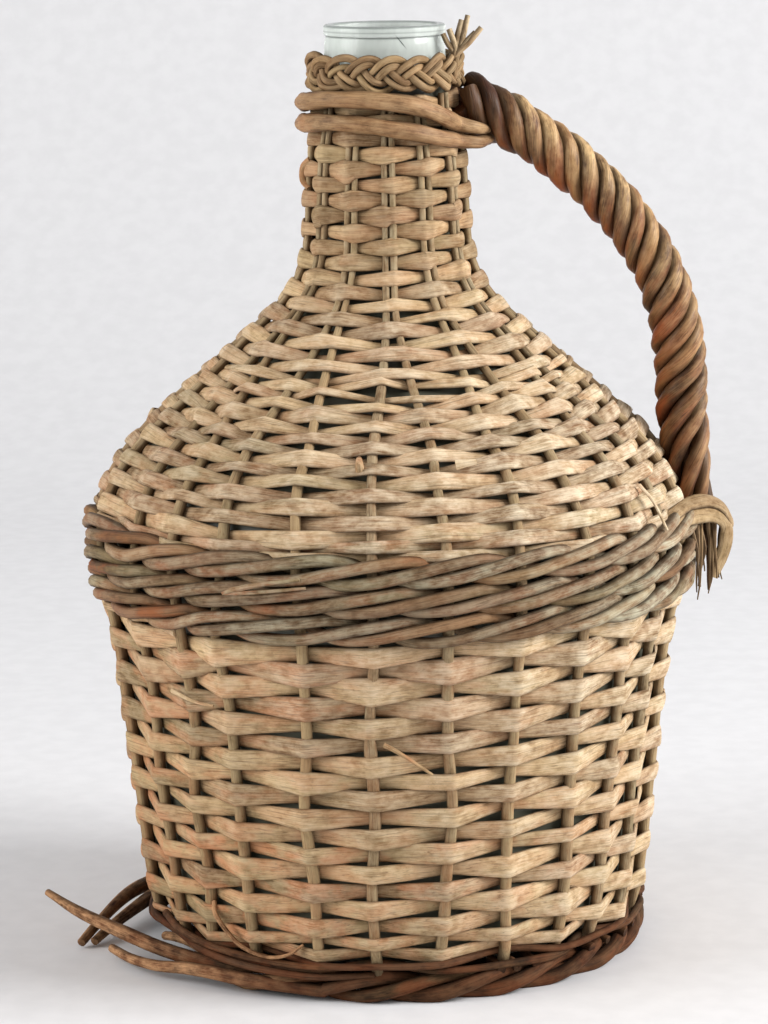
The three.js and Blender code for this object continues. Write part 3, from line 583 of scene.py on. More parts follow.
def willow(name, deep, pale, rust, grey, dirt_and_shade, streak, crest, gloss=0.62, moss=0.1, sheen=0.14):
    """Old willow: fibres along the grain, bleached, rusty and dirty in places, with painted shade in its
    crevices, off its crests.
    """
    finish = Finish(name)
    deep, pale, rust, grey, dirt_and_shade = (colour(*tone) for tone in (deep, pale, rust, grey, dirt_and_shade))
    grain = finish.layer("grain")
    seed, warm, bare = finish.parts(finish.layer("tint"))
    rise = finish.parts(grain)[2]

    def speckle(along, across, offset, detail, rough=0.6):
        """Noise with its own fineness along and across the grain, different on every length."""
        vector = finish.stretched(grain, (along, across, across))
        return finish.noise(vector, seed * 40 + offset, detail, rough)

    fibre = speckle(0.025, streak, 0, 3.0)
    fine = speckle(0.14, 2.6 * streak, 7, 3.0, 0.65)
    blotch = speckle(0.04, 0.1, 13, 3.0)
    cloud = speckle(0.13, 0.2, 21, 4.0)
    grit = speckle(0.5, 0.9, 27, 2.0)
    crack = speckle(0.014, 0.5, 31, 1.0, 0.5)
    hue = speckle(0.007, 0.02, 41, 1.0, 0.5)
    body = (fibre.between(0.3, 0.7) * 0.28 + fine.between(0.32, 0.68) * 0.22
            + cloud.between(0.3, 0.7) * 0.18 + seed * 0.64 - 0.16)
    shade = finish.mix(body, deep, pale)
    shade = finish.mix(hue.between(0.5, 0.66) * moss, shade, MOSSY)
    shade = finish.mix((1 - hue.between(0.34, 0.5)) * moss, shade, RUDDY)
    shade = finish.mix(warm * blotch.between(0.42, 0.62), shade, rust)
    worn = fine.between(0.3, 0.7) * 0.3 + cloud.between(0.35, 0.7) * 0.5
    shade = finish.mix(bare * worn, shade, grey)
    split = crack.line(0.5, 0.025) * 0.35
    soiled = (1 - cloud.between(0.28, 0.48)) * 0.22 + grit.between(0.6, 0.72) * 0.18
    # Painted shade: off the crest of each length's section, its crevices are darkened towards the dark
    # colour
    crevice = (1 - rise.between(*crest)) * 0.68
    shade = finish.mix(soiled + split, shade, dirt_and_shade)
    shade = finish.mix(crevice, shade, dirt_and_shade)
    height = fibre * 0.5 + fine * 0.3 + cloud * 0.5 + grit * 0.12 - split * 0.5
    finish.give(Base_Color=shade, Roughness=gloss + fibre * 0.3,
                Normal=finish.bump(height, 0.6, 0.8 * MM), Specular_IOR_Level=sheen)
    return finish.material


def pale_glass():
    """Glass with a pale bloom, painted dark lines at its lip, a dark crack, and dark under the cover
    with dust and painted shade.
    """
    finish = Finish("pale_glass")
    place = finish.place()
    ripple = finish.noise(finish.stretched(place, (24.0, 24.0, 9.0)), 3.0, 2.0)
    film = finish.noise(finish.stretched(place, (60.0, 60.0, 14.0)), 8.0, 4.0, 0.6)
    across, depth, height = finish.parts(place)
    # Under the cover the glass is dark with dust and with painted shade
    cover_shade_and_dust = 1 - height.between(GLASS_DARK * MM, GLASS_CLEAR * MM)
    # Painted shade: dark lines where the lip's edges refract the dark around them
    lip = (height.line((HEIGHT - LIP_TALL) * MM, 0.9 * MM)
           + height.line((HEIGHT - 0.55 * LIP_TALL) * MM, 0.7 * MM) * 0.6
           + height.between((HEIGHT - 1.6) * MM, (HEIGHT - 0.6) * MM))
    crack = (height + across * CRACK_SLANT).line(CRACK_LEVEL * MM, CRACK_WIDE * MM)
    crack = crack * across.line(CRACK_MIDDLE * MM, CRACK_REACH * MM)
    front = 1 - depth.between(-20 * MM, -10 * MM)
    lines = (lip + crack * front * 2) * 0.62
    clear = finish.mix(film.between(0.35, 0.7), colour(250, 253, 251), colour(243, 249, 246))
    clear = finish.mix(lines, clear, colour(92, 102, 98))
    bloom = finish.mix(lines, colour(238, 245, 239), colour(96, 106, 102))
    finish.give(Base_Color=finish.mix(cover_shade_and_dust, clear, colour(96, 99, 86)),
                Roughness=film.between(0.5, 0.8) * 0.12 + cover_shade_and_dust * 0.3 + 0.06,
                Normal=finish.bump(ripple, 0.18, 3.0 * MM), IOR=1.5, Transmission_Weight=1.0)
    dust = finish.add("ShaderNodeBsdfPrincipled", {}, {
        "Base Color": finish.mix(cover_shade_and_dust, bloom, colour(103, 103, 88)), "Roughness": 0.45})
    finish.blend(film.between(0.3, 0.7) * 0.2 + cover_shade_and_dust * 0.1 + 0.5, dust)
    return finish.material


STRIP_WILLOW = willow(
    "strip_willow", deep=(126, 94, 63), pale=(218, 184, 136), rust=(200, 130, 86),
    grey=(252, 237, 208), dirt_and_shade=(69, 46, 26), streak=0.6, crest=(0.2, 1.6), moss=0.3)
STAKE_WILLOW = willow(
    "stake_willow", deep=(111, 88, 60), pale=(181, 154, 113), rust=(160, 109, 71),
    grey=(200, 185, 153), dirt_and_shade=(65, 48, 33), streak=0.8, crest=(-0.8, 1.8))
WALE_WILLOW = willow(
    "wale_willow", deep=(68, 44, 26), pale=(164, 124, 82), rust=(149, 86, 46),
    grey=(208, 205, 178), dirt_and_shade=(32, 19, 9), streak=0.6, crest=(0.5, 3.2),
    gloss=0.5, moss=0.34, sheen=0.2)
FOOT_WILLOW = willow(
    "foot_willow", deep=(40, 23, 13), pale=(97, 62, 39), rust=(107, 58, 32),
    grey=(200, 153, 111), dirt_and_shade=(19, 10, 5), streak=0.6, crest=(-0.4, 3.2))
PLAIT_WILLOW = willow(
    "plait_willow", deep=(92, 67, 42), pale=(191, 156, 110), rust=(143, 97, 57),
    grey=(218, 195, 158), dirt_and_shade=(36, 22, 13), streak=0.9, crest=(-0.2, 1.5),
    gloss=0.5, moss=0.2)
HANDLE_WILLOW = willow(
    "handle_willow", deep=(66, 37, 20), pale=(162, 112, 68), rust=(152, 78, 38),
    grey=(226, 190, 138), dirt_and_shade=(20, 10, 5), streak=0.7, crest=(1.4, 4.9),
    gloss=0.34, sheen=0.32)
COLLAR_WILLOW = willow(
    "collar_willow", deep=(97, 67, 41), pale=(185, 145, 101), rust=(166, 103, 59),
    grey=(229, 197, 151), dirt_and_shade=(38, 23, 13), streak=0.7, crest=(0.0, 3.8),
    gloss=0.42, moss=0.2, sheen=0.28)
PALE_GLASS = pale_glass()


# How the cover has weathered: rusty low on the left, bleached on the shoulder and the right


def warmth(points):
    left = np.interp(points[:, 0], [-130, 130], [1, 0])
    low = np.interp(points[:, 2], [30, 330], [1, 0])
    return 0.18 + 0.55 * left * low


def bareness(points):
    right = np.interp(points[:, 0], [-150, 150], [0, 1])
    high = np.interp(points[:, 2], [120, 260, 330, 390], [0, 0.3, 0.25, 0])
    neck = np.interp(points[:, 2], [330, 400], [1, 0.5])
    return np.clip(0.12 + 0.62 * right + high, 0, 1.1) * neck


def glass_bottle():
    outer = evenly(glass_side(), GLASS_STEP)
    inner = outer - outward_of(outer) * GLASS_WALL
    reach = np.linspace(PUNT_POINT, PUNT_RADIUS, 24)
    rise = PUNT_RISE * (1 + np.cos(np.pi * reach / PUNT_RADIUS)) / 2
    punt = np.stack([reach, GLASS_BOTTOM + rise], axis=1)
    lip_top = outer[-1] + [LIP_PROUD - LIP_ROUND, -LIP_ROUND]
    rim = (MOUTH_RADIUS - GLASS_WALL + RIM_ROUND, HEIGHT - RIM_ROUND)
    profile = np.concatenate([
        punt,
        outer[outer[:, 1] < HEIGHT - LIP_TALL - 1],
        arc(lip_top - [0, LIP_TALL - 2 * LIP_ROUND], LIP_ROUND, -80, 0, 6),
        arc(lip_top, LIP_ROUND, 0, 90, 6),
        arc(rim, RIM_ROUND, 90, 180, 6),
        inner[inner[:, 1] < HEIGHT - 2 * RIM_ROUND][::-1],
        (punt + [0, GLASS_WALL])[::-1],
    ])
    angle = np.arange(GLASS_SIDES) * TAU / GLASS_SIDES
    points = round_axis(profile[:, :1], profile[:, 1:], angle)
    # One skin: from the punt up the outside, over the lip and down the inside; glass has no grain
    bottle = Wicker()
    bottle.skin(points, points, (0.5, 0.5, 0.5))
    set_out("glass_demijohn", bottle, PALE_GLASS, "glass", "glass_bottle", crease=GLASS_CREASE)


def stakes():
    cover = Wicker()
    run = np.arange(0, STAKE_RUN[-1], ROD_STEP)
    for number in range(STAKES):
        angle = stake_angle(number, run)
        path = on_cover(run, angle, drift(run, 40, 0.25))
        thick = stake_thick(run) * (1 + drift(run, 30, 0.05))
        paler = np.interp(path[:, 2], [335, 385], [0, 0.7])  # on the neck
        look = (chance.random(), warmth(path) * 0.7 + chance.random() * 0.3,
                bareness(path) * (0.4 + chance.random()) + paler)
        cover.rod(path, out_of_cover(run, angle), thick, look)
        # Painted shade low on each stake, where it goes in at the foot
        cover.paint_crevice_shade(np.interp(run, [4, 16], [3, 0]))
    nodes = [f"stake_{number:02d}" for number in range(1, STAKES + 1)]
    set_out("cover_stakes", cover, STAKE_WILLOW, "willow_stake", *nodes)


# Weave

# Places along a strip from one stake to the next: close together where it folds over a stake
FOLD_PLACES = np.array([0.0, 0.045, 0.11, 0.25, 0.42, 0.58, 0.75, 0.89, 0.955])


def torn(run, angle):
    around = (np.degrees(angle) - TORN_ANGLE + 180) % 360 - 180
    return np.exp(-((run - run_at(TORN_HEIGHT)) / TORN_TALL) ** 2 - (around / TORN_WIDE) ** 2)


# How the split willow of one band lies: its width in front of a stake and behind it, in rows, how
# much wider the top rows are (swell), and how many stakes it passes together (group)
Strip = namedtuple("Strip", "front behind tilt ragged swell group", defaults=(0.0, 1))


def strip_length(wicker, strip, step, run, tall, front, wide_share):
    """One split willow, in front of and behind its stakes by turns."""
    count = len(step)
    angle = stake_angles(step, run)
    thick = STRIP_THICK * (1 + chance.normal(0, 0.08))
    half = stake_thick(run) / 2 - STRIP_BITE
    points = on_cover(run, angle, np.where(front, half, -half - thick))
    outward = out_of_cover(run, angle)
    upright = np.cross(unit(np.gradient(points, axis=0)), outward)
    share = np.where(front, strip.front * wide_share, strip.behind)
    share = share * (1 - TORN_NARROW * torn(run, angle))
    wide = np.maximum(tall * share * (1 + chance.normal(0, 0.1, count)), STRIP_LEAST)
    places = np.append((np.arange(count - 1)[:, None] + FOLD_PLACES).ravel(), count - 1)

    def between(values):
        return read_off(np.reshape(values, (count, -1)), np.arange(count), places)

    path = between(points)
    tilt = between(chance.normal(0, strip.tilt, count) + chance.normal(0, strip.tilt / 2))
    wide = between(wide)[:, 0] * (1 + drift(places, 0.7, 0.05))
    # Bleached in front of the stakes and much less behind them: partly less weathered there, partly
    # painted shade
    bare = bareness(path) * between(np.where(front, 1.25, 0.3))[:, 0]
    # Darker low on the left
    low = np.interp(path[:, 2], [25, 110], [0.42, 0]) * np.interp(path[:, 0], [-96, 96], [1, 0.2])
    look = (chance.random() - low, warmth(path) * (1 + drift(places, 4, 0.35)), bare * (1 - low))
    face = between(outward) + between(upright) * tilt
    wicker.lay(path, face, wide, thick * (1 + drift(places, 2, 0.06)), STRIP_SECTION, look)


def weave(name, nodes, low, high, rows, strip):
    """A band of weavers that chase each other up the stakes; each starts and ends as a narrow tip."""
    ways, turns = len(nodes), rows / len(nodes) + 1
    low, high = run_at(low), run_at(high)
    pitch = (high - low) / rows
    step = np.arange(STRIP_START, int(turns * STAKES) - STRIP_START + 1)
    bottom = low + pitch * ways * np.maximum(0, step / STAKES - 1)
    tall = (low + pitch * ways * np.minimum(step / STAKES, turns - 1) - bottom) / ways
    for way, node in enumerate(nodes):
        wicker = Wicker()
        run = bottom + tall * (way + 0.5) + drift(step, 1.6, strip.ragged)
        apart = TORN_APART * np.tanh((run - run_at(TORN_HEIGHT)) / TORN_EDGE)
        run = run + apart * torn(run, stake_angles(step, run))
        front = (np.ceil(step / strip.group) + way) % 2 == 0
        rows_left = (high - run) / pitch
        wide_share = 1 + strip.swell * np.interp(rows_left, [SWELL_TO, SWELL_FROM], [1, 0])
        begin = 0
        while begin < len(step) - 1:
            end = begin + int(chance.integers(*STRIP_STAKES))
            while end < len(step) and front[end]:
                end += 1
            kept = slice(begin, end + 1)
            strip_length(wicker, strip, step[kept], run[kept], tall[kept], front[kept], wide_share[kept])
            begin = end
        set_out(f"{name}_{way + 1}", wicker, STRIP_WILLOW, "willow_strip", node, crease=STRIP_CREASE)


def wale():
    low, high = run_at(WALE_LOW), run_at(WALE_HIGH)
    tall = (high - low) / WALE_SETS
    for rod in range(3):
        wicker = Wicker()
        first = 2 - rod
        bays = STAKES - 2 if rod == 0 else STAKES + 1
        for level in range(WALE_SETS):
            steps = np.arange(2 * first, 2 * (first + bays) + 1)  # stakes and the middles between
            phase = (steps + 2 * rod) % 6
            run = low + (level + 0.5) * tall + np.array(WALE_RISE)[phase] * tall
            run = run + drift(steps, 4, 0.6)
            half = stake_thick(run) / 2
            front, behind = half + WALE_FRONT * WALE_ROD, -half - WALE_BEHIND * WALE_ROD
            off = np.select([phase < 3, phase == 4], [front, behind], WALE_PASSING * front)
            numbers = WALE_SEAM + 3 * level + steps // 2
            angle = (stake_angles(numbers, run) + stake_angles(numbers + steps % 2, run)) / 2
            path = bent_through(on_cover(run, angle, off), ROD_STEP)
            along = run_of(path)
            thick = WALE_ROD * (1 + drift(along, 60, 0.05)) * np.linspace(1.04, 0.94, len(along))
            look = (chance.random(), warmth(path) * (1.3 + drift(along, 70, 0.8)),
                    np.maximum(bareness(path) * 0.85 + drift(along, 70, 0.3), 0))
            wicker.rod(path, path * [1, 1, 0], thick, look, 10)
        set_out(f"wale_rod_{rod + 1}", wicker, WALE_WILLOW, "willow_wale", f"belly_wale_{rod + 1}")


# Foot


def foot_pairing():
    """Two rods, one on the other, in front of three stakes and behind the fourth."""
    for rod in range(2):
        wicker = Wicker()
        numbers = np.arange(STAKES + 2)
        behind = (numbers + 2 * rod) % 4 == 3
        run = run_at(FOOT_TOP + PAIRING_LIFT) + PAIRING_PITCH * rod + drift(numbers, 2, 0.7)
        half = stake_thick(run) / 2
        off = np.where(behind, -half, half + PAIRING_FRONT * PAIRING_ROD)
        path = bent_through(on_cover(run, stake_angles(numbers, run), off), ROD_STEP)
        look = (chance.random(), 0.4 + warmth(path), bareness(path) * 0.35)
        thick = PAIRING_ROD * (1 + drift(run_of(path), 40, 0.07))
        wicker.rod(path, path * [1, 1, 0], thick, look, 10)
        set_out(f"pairing_rod_{rod + 1}", wicker, FOOT_WILLOW, "willow_foot", f"foot_pairing_{rod + 1}")


def on_border(strand, degrees):
    angle = np.radians(degrees)
    lay = TAU * strand / 3 + BORDER_LAYS * angle
    out, up = BORDER_LAY * np.cos(lay), BORDER_LAY * np.sin(lay)
    return round_axis(FOOT_RADIUS + out, FOOT_MIDDLE + up, angle)


# Each strand's start and end round the border, and points on its ends that have sprung loose
BORDER_STRANDS = (
    (228.75, 498.75, [(-193, -8, 25), (-174, -32, 21), (-150, -55, 17), (-121, -78, 12)],
     [(-124, 70, 12), (-140, 42, 15), (-152, 16, 15), (-164, -14, 10), (-173, -33, 3.6)]),
    (251.75, 528.75, [(-155, -48, 5), (-143, -70, 6), (-128, -86, 7), (-113, -95, 8.5), (-98, -105, 9),
                      (-79, -115, 8)], []),
    (198.75, 513.75, [], [(-136, 32, 11), (-146, 6, 11), (-157, -16, 8), (-166, -31, 3.6)]),
)
# Where cut ends of the stakes show, as angles from the handle
BORDER_BUTTS = (-66, -62, -57, -53, -40, -33, -26, -19, 14, 41, 77, 102, 133, 160)


def foot_border():
    for strand, (start, end, before, after) in enumerate(BORDER_STRANDS):
        wicker = Wicker()
        laid = on_border(strand, np.linspace(start, end, BORDER_STEPS))
        parts = [part for part in (before, laid, after) if len(part)]
        path = bent_through(np.concatenate(parts), BORDER_STEP)
        along = run_of(path)
        left = np.minimum(along, along[-1] - along)
        thick = BORDER_ROD * (1 + drift(along, 35, 0.07))
        thick = thick * np.interp(left, [0, BORDER_TIP_OVER], [BORDER_TIP, 1])
        bare = np.interp(left, [0, 60, 130], [1.9, 1.5, 0.15])
        look = (chance.random(), 0.55 + drift(along, 80, 0.2), bare)
        wicker.rod(path, path * [1, 1, 0], thick, look, 10)
        # Cut ends of the stakes poke out above the border
        for degrees in BORDER_BUTTS[strand::3]:
            reach = FOOT_RADIUS + np.array([-BUTT_TUCK, 0, BUTT_REACH + chance.normal(0, 1.2)])
            butt = round_axis(reach, FOOT_TOP + np.array(BUTT_RISE), math.radians(degrees))
            wicker.rod(evenly(butt, BORDER_STEP), (0, 0, 1), BUTT_ROD + chance.normal(0, 0.4),
                       (chance.random(), 0.6, 0.25))
        # Worn flat where it stands on the floor
        wicker.points = [np.maximum(points, (-HEIGHT, -HEIGHT, 0)) for points in wicker.points]
        set_out(f"border_rod_{strand + 1}", wicker, FOOT_WILLOW, "willow_foot",
                f"foot_border_{strand + 1}")


def base():
    wicker = Wicker()
    for ring, radius in enumerate(np.arange(BASE_HOLE, BASE_RADIUS, BASE_ROD + BASE_GAP)):
        angle = np.linspace(0, TAU, max(40, int(radius * 1.6)))
        height = BASE_MIDDLE + BASE_WAVE * np.cos(2 * angle + math.pi * ring) + drift(angle, 0.4, 0.12)
        path = round_axis(radius + drift(angle, 0.5, 0.25), height, angle)
        wicker.rod(path, (0, 0, 1), BASE_ROD, (chance.random(), 0.5, 0.1), 6)
    set_out("base_rods", wicker, FOOT_WILLOW, "willow_foot", "base_weave")
    sticks = Wicker()
    reach = np.linspace(-BASE_RADIUS, BASE_RADIUS, 60)
    for side in range(2):
        lift = STICK_MIDDLE + STICK_RISE * side * np.exp(-(reach / STICK_RISE_OVER) ** 2)
        for place in (-1, 0, 1):
            off = place * STICK_SPACING * (1 + np.abs(reach) / STICK_SPREAD) + drift(reach, 50, 0.4)
            path = np.stack([(off, reach, lift), (reach, off, lift)][side], axis=1)
            look = (chance.random(), 0.4, 0.15)
            sticks.lay(path, (0, 0, 1), STICK_WIDE, STICK_DEEP, round_section(8), look)
    nodes = [f"base_{kind}_stick_{n}" for kind in ("slit", "thread") for n in (1, 2, 3)]
    set_out("base_sticks", sticks, FOOT_WILLOW, "willow_foot", *nodes)


# Neck

PLAIT_TIPS = ((42.5, -16.0, 503.5), (49.5, -17.0, 497.0), (32.5, -18.0, 496.5))
# The collar's two turns: heights at angles round from the handle, and points along the handle
COLLAR_ANGLES = (58, 120, 180, 237, 280, 304, 328)
COLLAR_TURNS = (((450, 457, 459, 463, 461, 456, 448.5), ((47, 20, 446), (54, 8, 444))),
                ((441, 446, 448, 450.6, 447, 443, 439.5), ((48, 19, 438), (55, 7, 438.5))))


def neck_plait():
    """Three strands of two rods each; their ends stand up beside the handle."""
    turn = np.radians(np.linspace(PLAIT_TAIL_ANGLE, PLAIT_TAIL_ANGLE + 360, PLAIT_STEPS))
    loose, slack = drift(turn, 0.6, 0.3), 1 + drift(turn, 0.5, 0.07)
    root = round_axis(PLAIT_RADIUS + PLAIT_ROOT_OUT, PLAIT_MIDDLE + PLAIT_ROOT_UP, turn[-1])
    for strand in range(3):
        wicker = Wicker()
        swing = PLAIT_PERIODS * turn + TAU * strand / 3 + loose
        path = round_axis(PLAIT_RADIUS + PLAIT_DEPTH * np.sin(2 * swing),
                          PLAIT_MIDDLE + slack * PLAIT_SWING * np.sin(swing), turn)
        outward = unit(path * [1, 1, 0])
        beside = unit(np.cross(unit(np.gradient(path, axis=0)), outward))
        for rod in (-0.5, 0.5):
            lane = path + beside * (rod * PLAIT_ROD * PLAIT_PACK)
            lane = lane + outward * drift(turn, 0.15, 0.4)[:, None]
            lane[:, 2] += drift(turn, 0.2, 0.45)
            tip = np.array(PLAIT_TIPS[strand]) + rod * np.array(PLAIT_TIPS_APART)
            stem = root + [rod, -1, 2 * strand - 2]
            grown = bent_through([lane[-1], stem, (stem + tip) / 2 + [rod, -1, 0], tip], FINE_STEP)
            lane = np.concatenate([lane, grown[1:]])
            along = run_of(lane)
            thick = PLAIT_ROD * (1 + drift(along, 20, 0.09))
            tail = np.interp(along[-1] - along, [0, PLAIT_TAIL], [1, 0])
            look = (chance.random(), 0.3, bareness(lane) * 1.8 + tail * 1.8)
            wicker.rod(lane, lane * [1, 1, 0] + [0, 0, 1e-3], thick * (1 - 0.2 * tail), look)
        set_out(f"plait_strand_{strand + 1}", wicker, PLAIT_WILLOW, "willow_plait",
                f"neck_plait_{strand + 1}")


def neck_collar():
    """A rod round the neck in two turns, each with its ends run in under the handle's strands."""
    wicker = Wicker()
    for turn, (heights, ends) in enumerate(COLLAR_TURNS):
        loop = round_axis(COLLAR_RADIUS, heights, np.radians(COLLAR_ANGLES))
        ends = np.array(ends)
        start = ends[::-1] + [0, 0, 0.5 * (heights[0] - heights[-1])]
        path = bent_through(np.concatenate([start, loop, ends * [1, -1, 1]]), HANDLE_STEP)
        radius = np.linalg.norm(path[:, :2], axis=1, keepdims=True)
        path[:, :2] *= np.maximum(COLLAR_RADIUS / radius, 1)  # it can't lie inside the neck
        along = run_of(path)
        thick = COLLAR_ROD * (1 + drift(along, 25, 0.05))
        thick = thick * np.interp(along[-1] - along, [0, COLLAR_TIP_OVER], [COLLAR_TIP, 1])
        warm = 0.3 + drift(along, 40, 0.15)
        look = (0.6 - 0.25 * turn, warm, bareness(path) * (2 + drift(along, 30, 0.7)))
        section = twisted_section(path, 20, 4, 0.06, 110)
        wicker.lay(path, path * [1, 1, 0], thick, thick, section, look)
    set_out("collar_rod", wicker, COLLAR_WILLOW, "willow_handle", "neck_collar")


# Handle


def handle_line():
    top, grip, foot = (np.array(point) for point in (HANDLE_TOP, HANDLE_GRIP, HANDLE_FOOT))
    dip = facing(-HANDLE_DIP)
    upper = bezier(top, top + dip * HANDLE_NECK_PULL, grip + [0, HANDLE_GRIP_PULL], grip)
    rest = facing(90 + HANDLE_LEAN)
    lower = bezier(grip, grip - [0, HANDLE_RUN], foot + rest * HANDLE_RUN, foot)
    line = evenly(np.concatenate([[top - dip * HANDLE_TUCK], upper, lower[1:]]), FINE_STEP)
    return np.stack([line[:, 0], 0 * line[:, 0], line[:, 1]], axis=1)


HANDLE_LINE = handle_line()
HANDLE_LONG = run_of(HANDLE_LINE)[-1]


def handle_thin(run):
    return (np.interp(HANDLE_LONG - run, [0, HANDLE_THIN_OVER], [HANDLE_THIN, 1])
            * np.interp(run, [0, HANDLE_ROOT_OVER], [HANDLE_ROOT, 1]))


def round_handle(run, turn, off):
    """Point off the handle's middle line, and the way out from it there."""
    middle = read_off(HANDLE_LINE, run_of(HANDLE_LINE), run)
    along = unit(np.gradient(middle, axis=0))
    across = np.stack([along[:, 2], 0 * run, -along[:, 0]], axis=1)
    outward = across * np.cos(turn)[:, None] + np.array([0, 1, 0]) * np.sin(turn)[:, None]
    return middle + outward * np.asarray(off)[:, None], outward


def handle_strands():
    run = np.arange(HANDLE_BURIED, HANDLE_LONG + 1, HANDLE_STEP)
    lay = np.interp(HANDLE_LONG - run, [0, HANDLE_STRAIGHT], [HANDLE_SLACK, 1]) / HANDLE_LEAD
    for strand in range(HANDLE_STRANDS):
        wicker = Wicker()
        turn = TAU * (strand / HANDLE_STRANDS + np.cumsum(lay) * HANDLE_STEP) + drift(run, 60, 0.06)
        path, outward = round_handle(run, turn, HANDLE_LAY * handle_thin(run) + drift(run, 30, 0.3))
        thick = handle_thin(run) * (1 + drift(run, 30, 0.05))
        bare = np.interp(run, [20, 45, 150, HANDLE_LONG], [0.0, 1.2, 0.75, 0.15])
        bare = bare * (1 + drift(run, 25, 0.3))
        # Bleached, with painted light, on the outside of the handle; rusty, with painted shade, on its
        # inside
        inside = np.cos(turn)
        look = (chance.random(), 0.5 + 0.4 * inside + drift(run, 60, 0.15), bare * 0.7 * (1 - inside))
        wicker.lay(path, outward, HANDLE_STRAND_WIDE * thick, HANDLE_STRAND_DEEP * thick,
                   twisted_section(path, 20, 4, 0.05, 150), look)
        # Painted shade at the strands' root, under the plait
        wicker.paint_crevice_shade(np.interp(run, [14, 40], [5, 0]))
        # Its end frays out below the lashing
        end = path[-1] * [1, 1, 0] + [0, 0, path[-4, 2]]
        drop = np.linspace(0, HANDLE_TAIL + chance.normal(0, 5), TAIL_STEPS)
        away = np.maximum(HANDLE_FRAY - end[0], 0) * np.clip(drop / HANDLE_TAIL_OUT, 0, 1)
        tail = end + np.stack([away + drift(drop, 12, 0.8), drift(drop, 12, 1.2), -drop], axis=1)
        thick = np.linspace(HANDLE_TAIL_THICK, HANDLE_TAIL_TIP, len(drop))
        wicker.rod(tail, (1, 0, 0), thick, (chance.random(), 0.5, 0.1))
        set_out(f"handle_rope_{strand + 1}", wicker, HANDLE_WILLOW, "willow_handle",
                f"handle_strand_{strand + 1}")
    core = Wicker()
    thick = HANDLE_HEART * handle_thin(run_of(HANDLE_LINE))
    core.rod(HANDLE_LINE, (0, 1, 0), thick, (0.3, 0.5, 0.0))
    # Painted shade all along the core, deep between the strands
    core.paint_crevice_shade(np.full(len(HANDLE_LINE), 5.0))
    set_out("handle_heart", core, HANDLE_WILLOW, "willow_handle", "handle_core")


# Points on the lashing's two strands, side by side over the handle's foot: one goes on behind, one
# hangs down
LASHING_LOOP = ((137, -80, 237), (150, -57, 243), (160, -38, 245), (170, -25, 244), (179, -13, 238.5),
                (184.5, -1, 228), (182, 11, 229), (170, 29, 239), (152, 52, 243), (137, 80, 237))
LASHING_END = ((139, -78, 234), (152, -55, 238.5), (165, -33, 238), (175, -20, 235), (181.5, -9, 228),
               (182, -5, 217), (178.5, -5, 206), (175.5, -6, 198))
# Where loose fibres hang from it, and how far
LASHING_FRAY = ((172, -14, 38), (174, -11, 42), (171, -8, 30), (179, -6, 34), (176, -12, 33),
                (181, -3, 36), (165, -30, 37), (166, -26, 42), (163, -34, 33), (168, -22, 36))


def handle_lashing():
    wicker = Wicker()
    middle = np.array([HANDLE_FOOT[0], 0, HANDLE_FOOT[1]])
    for strand, points in enumerate((LASHING_LOOP, LASHING_END)):
        path = bent_through(points, FINE_STEP)
        along = run_of(path)
        wide = LASHING_WIDE * (1 + drift(along, 20, 0.06))
        wide = wide * np.interp(along[-1] - along, [0, 10, 40], [0.6, 1.15, 1])
        outward = path - middle + [0, -LASHING_FACE * strand, 0]
        wicker.lay(path, outward, wide, LASHING_DEEP, twisted_section(path, 12, 2, 0.06, 90),
                   (0.4 + 0.25 * strand, 0.2, 0.6))
    for x, y, drop in LASHING_FRAY:
        fall = np.linspace(0, drop, TAIL_STEPS)
        path = np.stack([x + drift(fall, 15, 1.2), y + drift(fall, 15, 1.2), LASHING_FRAY_TOP - fall], 1)
        thick = np.linspace(LASHING_FRAY_THICK, LASHING_FRAY_TIP, len(fall))
        wicker.rod(path, (1, 0, 0), thick, (chance.random(), 0.3, 0.4), 5)
    set_out("lashing_rod", wicker, PLAIT_WILLOW, "willow_handle", "handle_lashing")


glass_bottle()
stakes()
weave("body_strips", ["body_weaver_1", "body_weaver_2"], BODY_LOW, WALE_LOW + WALE_COVER, BODY_ROWS,
      Strip(front=1.12, behind=0.8, tilt=0.08, ragged=0.6, swell=0.3))
weave("shoulder_strips", ["shoulder_weaver_1", "shoulder_weaver_2"], WALE_HIGH - WALE_COVER, NECK_LOW,
      SHOULDER_ROWS, Strip(front=1.34, behind=1.04, tilt=0.22, ragged=0.9))
weave("neck_strips", ["neck_weaver_1"], NECK_LOW, NECK_HIGH, NECK_ROWS,
      Strip(front=1.2, behind=0.84, tilt=0.08, ragged=0.4, group=2))
wale()
foot_pairing()
foot_border()
base()
neck_plait()
neck_collar()
handle_strands()
handle_lashing()


# Floor, light and camera


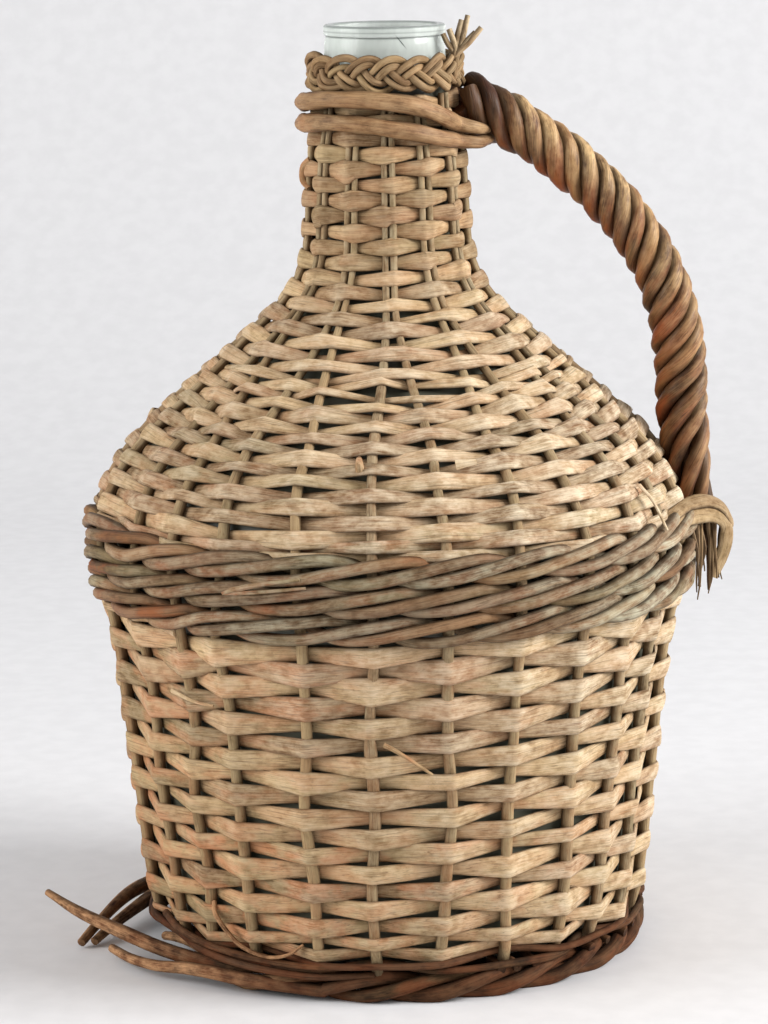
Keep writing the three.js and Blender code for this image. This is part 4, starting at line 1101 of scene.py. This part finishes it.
def backdrop():
    finish = Finish("pale_floor")
    cloth = finish.noise(finish.stretched(finish.place(), (60.0, 60.0, 60.0)), 1.0, 3.0)
    shade = finish.mix(cloth.between(0.3, 0.7), colour(224, 224, 226), colour(229, 229, 231))
    finish.give(Base_Color=shade, Roughness=cloth * 0.1 + 0.85)
    # Nothing hides the demijohn from behind
    back = finish.add("ShaderNodeNewGeometry", {}, {}, "Backfacing")
    finish.blend(back, finish.add("ShaderNodeBsdfTransparent", {}, {}))
    bend = arc((FLOOR_BACK - FLOOR_BEND, FLOOR_BEND), FLOOR_BEND, -90, 0, 24)
    profile = np.concatenate([[(FLOOR_FRONT, 0.0)], bend, [(FLOOR_BACK, FLOOR_TALL)]])
    edges = (-FLOOR_WIDE / 2, FLOOR_WIDE / 2)
    points = [(x, depth, height) for depth, height in profile for x in edges]
    faces = [(2 * i, 2 * i + 1, 2 * i + 3, 2 * i + 2) for i in range(len(profile) - 1)]
    mesh = bpy.data.meshes.new("backdrop")
    mesh.from_pydata(points, [], faces)
    mesh.polygons.foreach_set("use_smooth", [True] * len(faces))
    mesh.materials.append(finish.material)
    sheet = put("backdrop", mesh)


def lamp(name, place, size, watts):
    """A soft lamp that shines on the middle of the demijohn."""
    light = bpy.data.lights.new(name, "AREA")
    light.size, light.energy, light.color = size, watts, LAMP_TONE
    stand = put(name, light)
    stand.location = place
    reach = np.array([0, 0, HEIGHT / 2 * MM]) - place
    flat = math.hypot(reach[0], reach[1])
    stand.rotation_euler = Euler((math.atan2(flat, -reach[2]), 0, math.atan2(-reach[0], reach[1])))


def daylight():
    world = bpy.data.worlds.new("soft_daylight")
    world.use_nodes = True
    sky = world.node_tree.nodes["Background"]
    sky.inputs["Color"].default_value = (1.0, 1.0, 1.0, 1)
    sky.inputs["Strength"].default_value = SKY_STRENGTH
    bpy.context.scene.world = world
    for name, setting in LAMPS.items():
        lamp(name, *setting)


def camera():
    view = bpy.data.cameras.new("camera")
    view.sensor_fit = "VERTICAL"
    view.sensor_height = view.sensor_width = SENSOR
    view.lens = SENSOR * CAMERA_FOCUS
    stand = put("camera", view)
    look = Euler((math.radians(90 - CAMERA_DOWN), 0, math.radians(CAMERA_LEFT))).to_matrix().to_4x4()
    stand.matrix_world = (Matrix.Translation(CAMERA_PLACE) @ look
                          @ Matrix.Rotation(math.radians(CAMERA_ROLL), 4, "Z"))
    bpy.context.scene.camera = stand


backdrop()
daylight()
camera()
bpy.context.scene.view_settings.view_transform = "Standard"
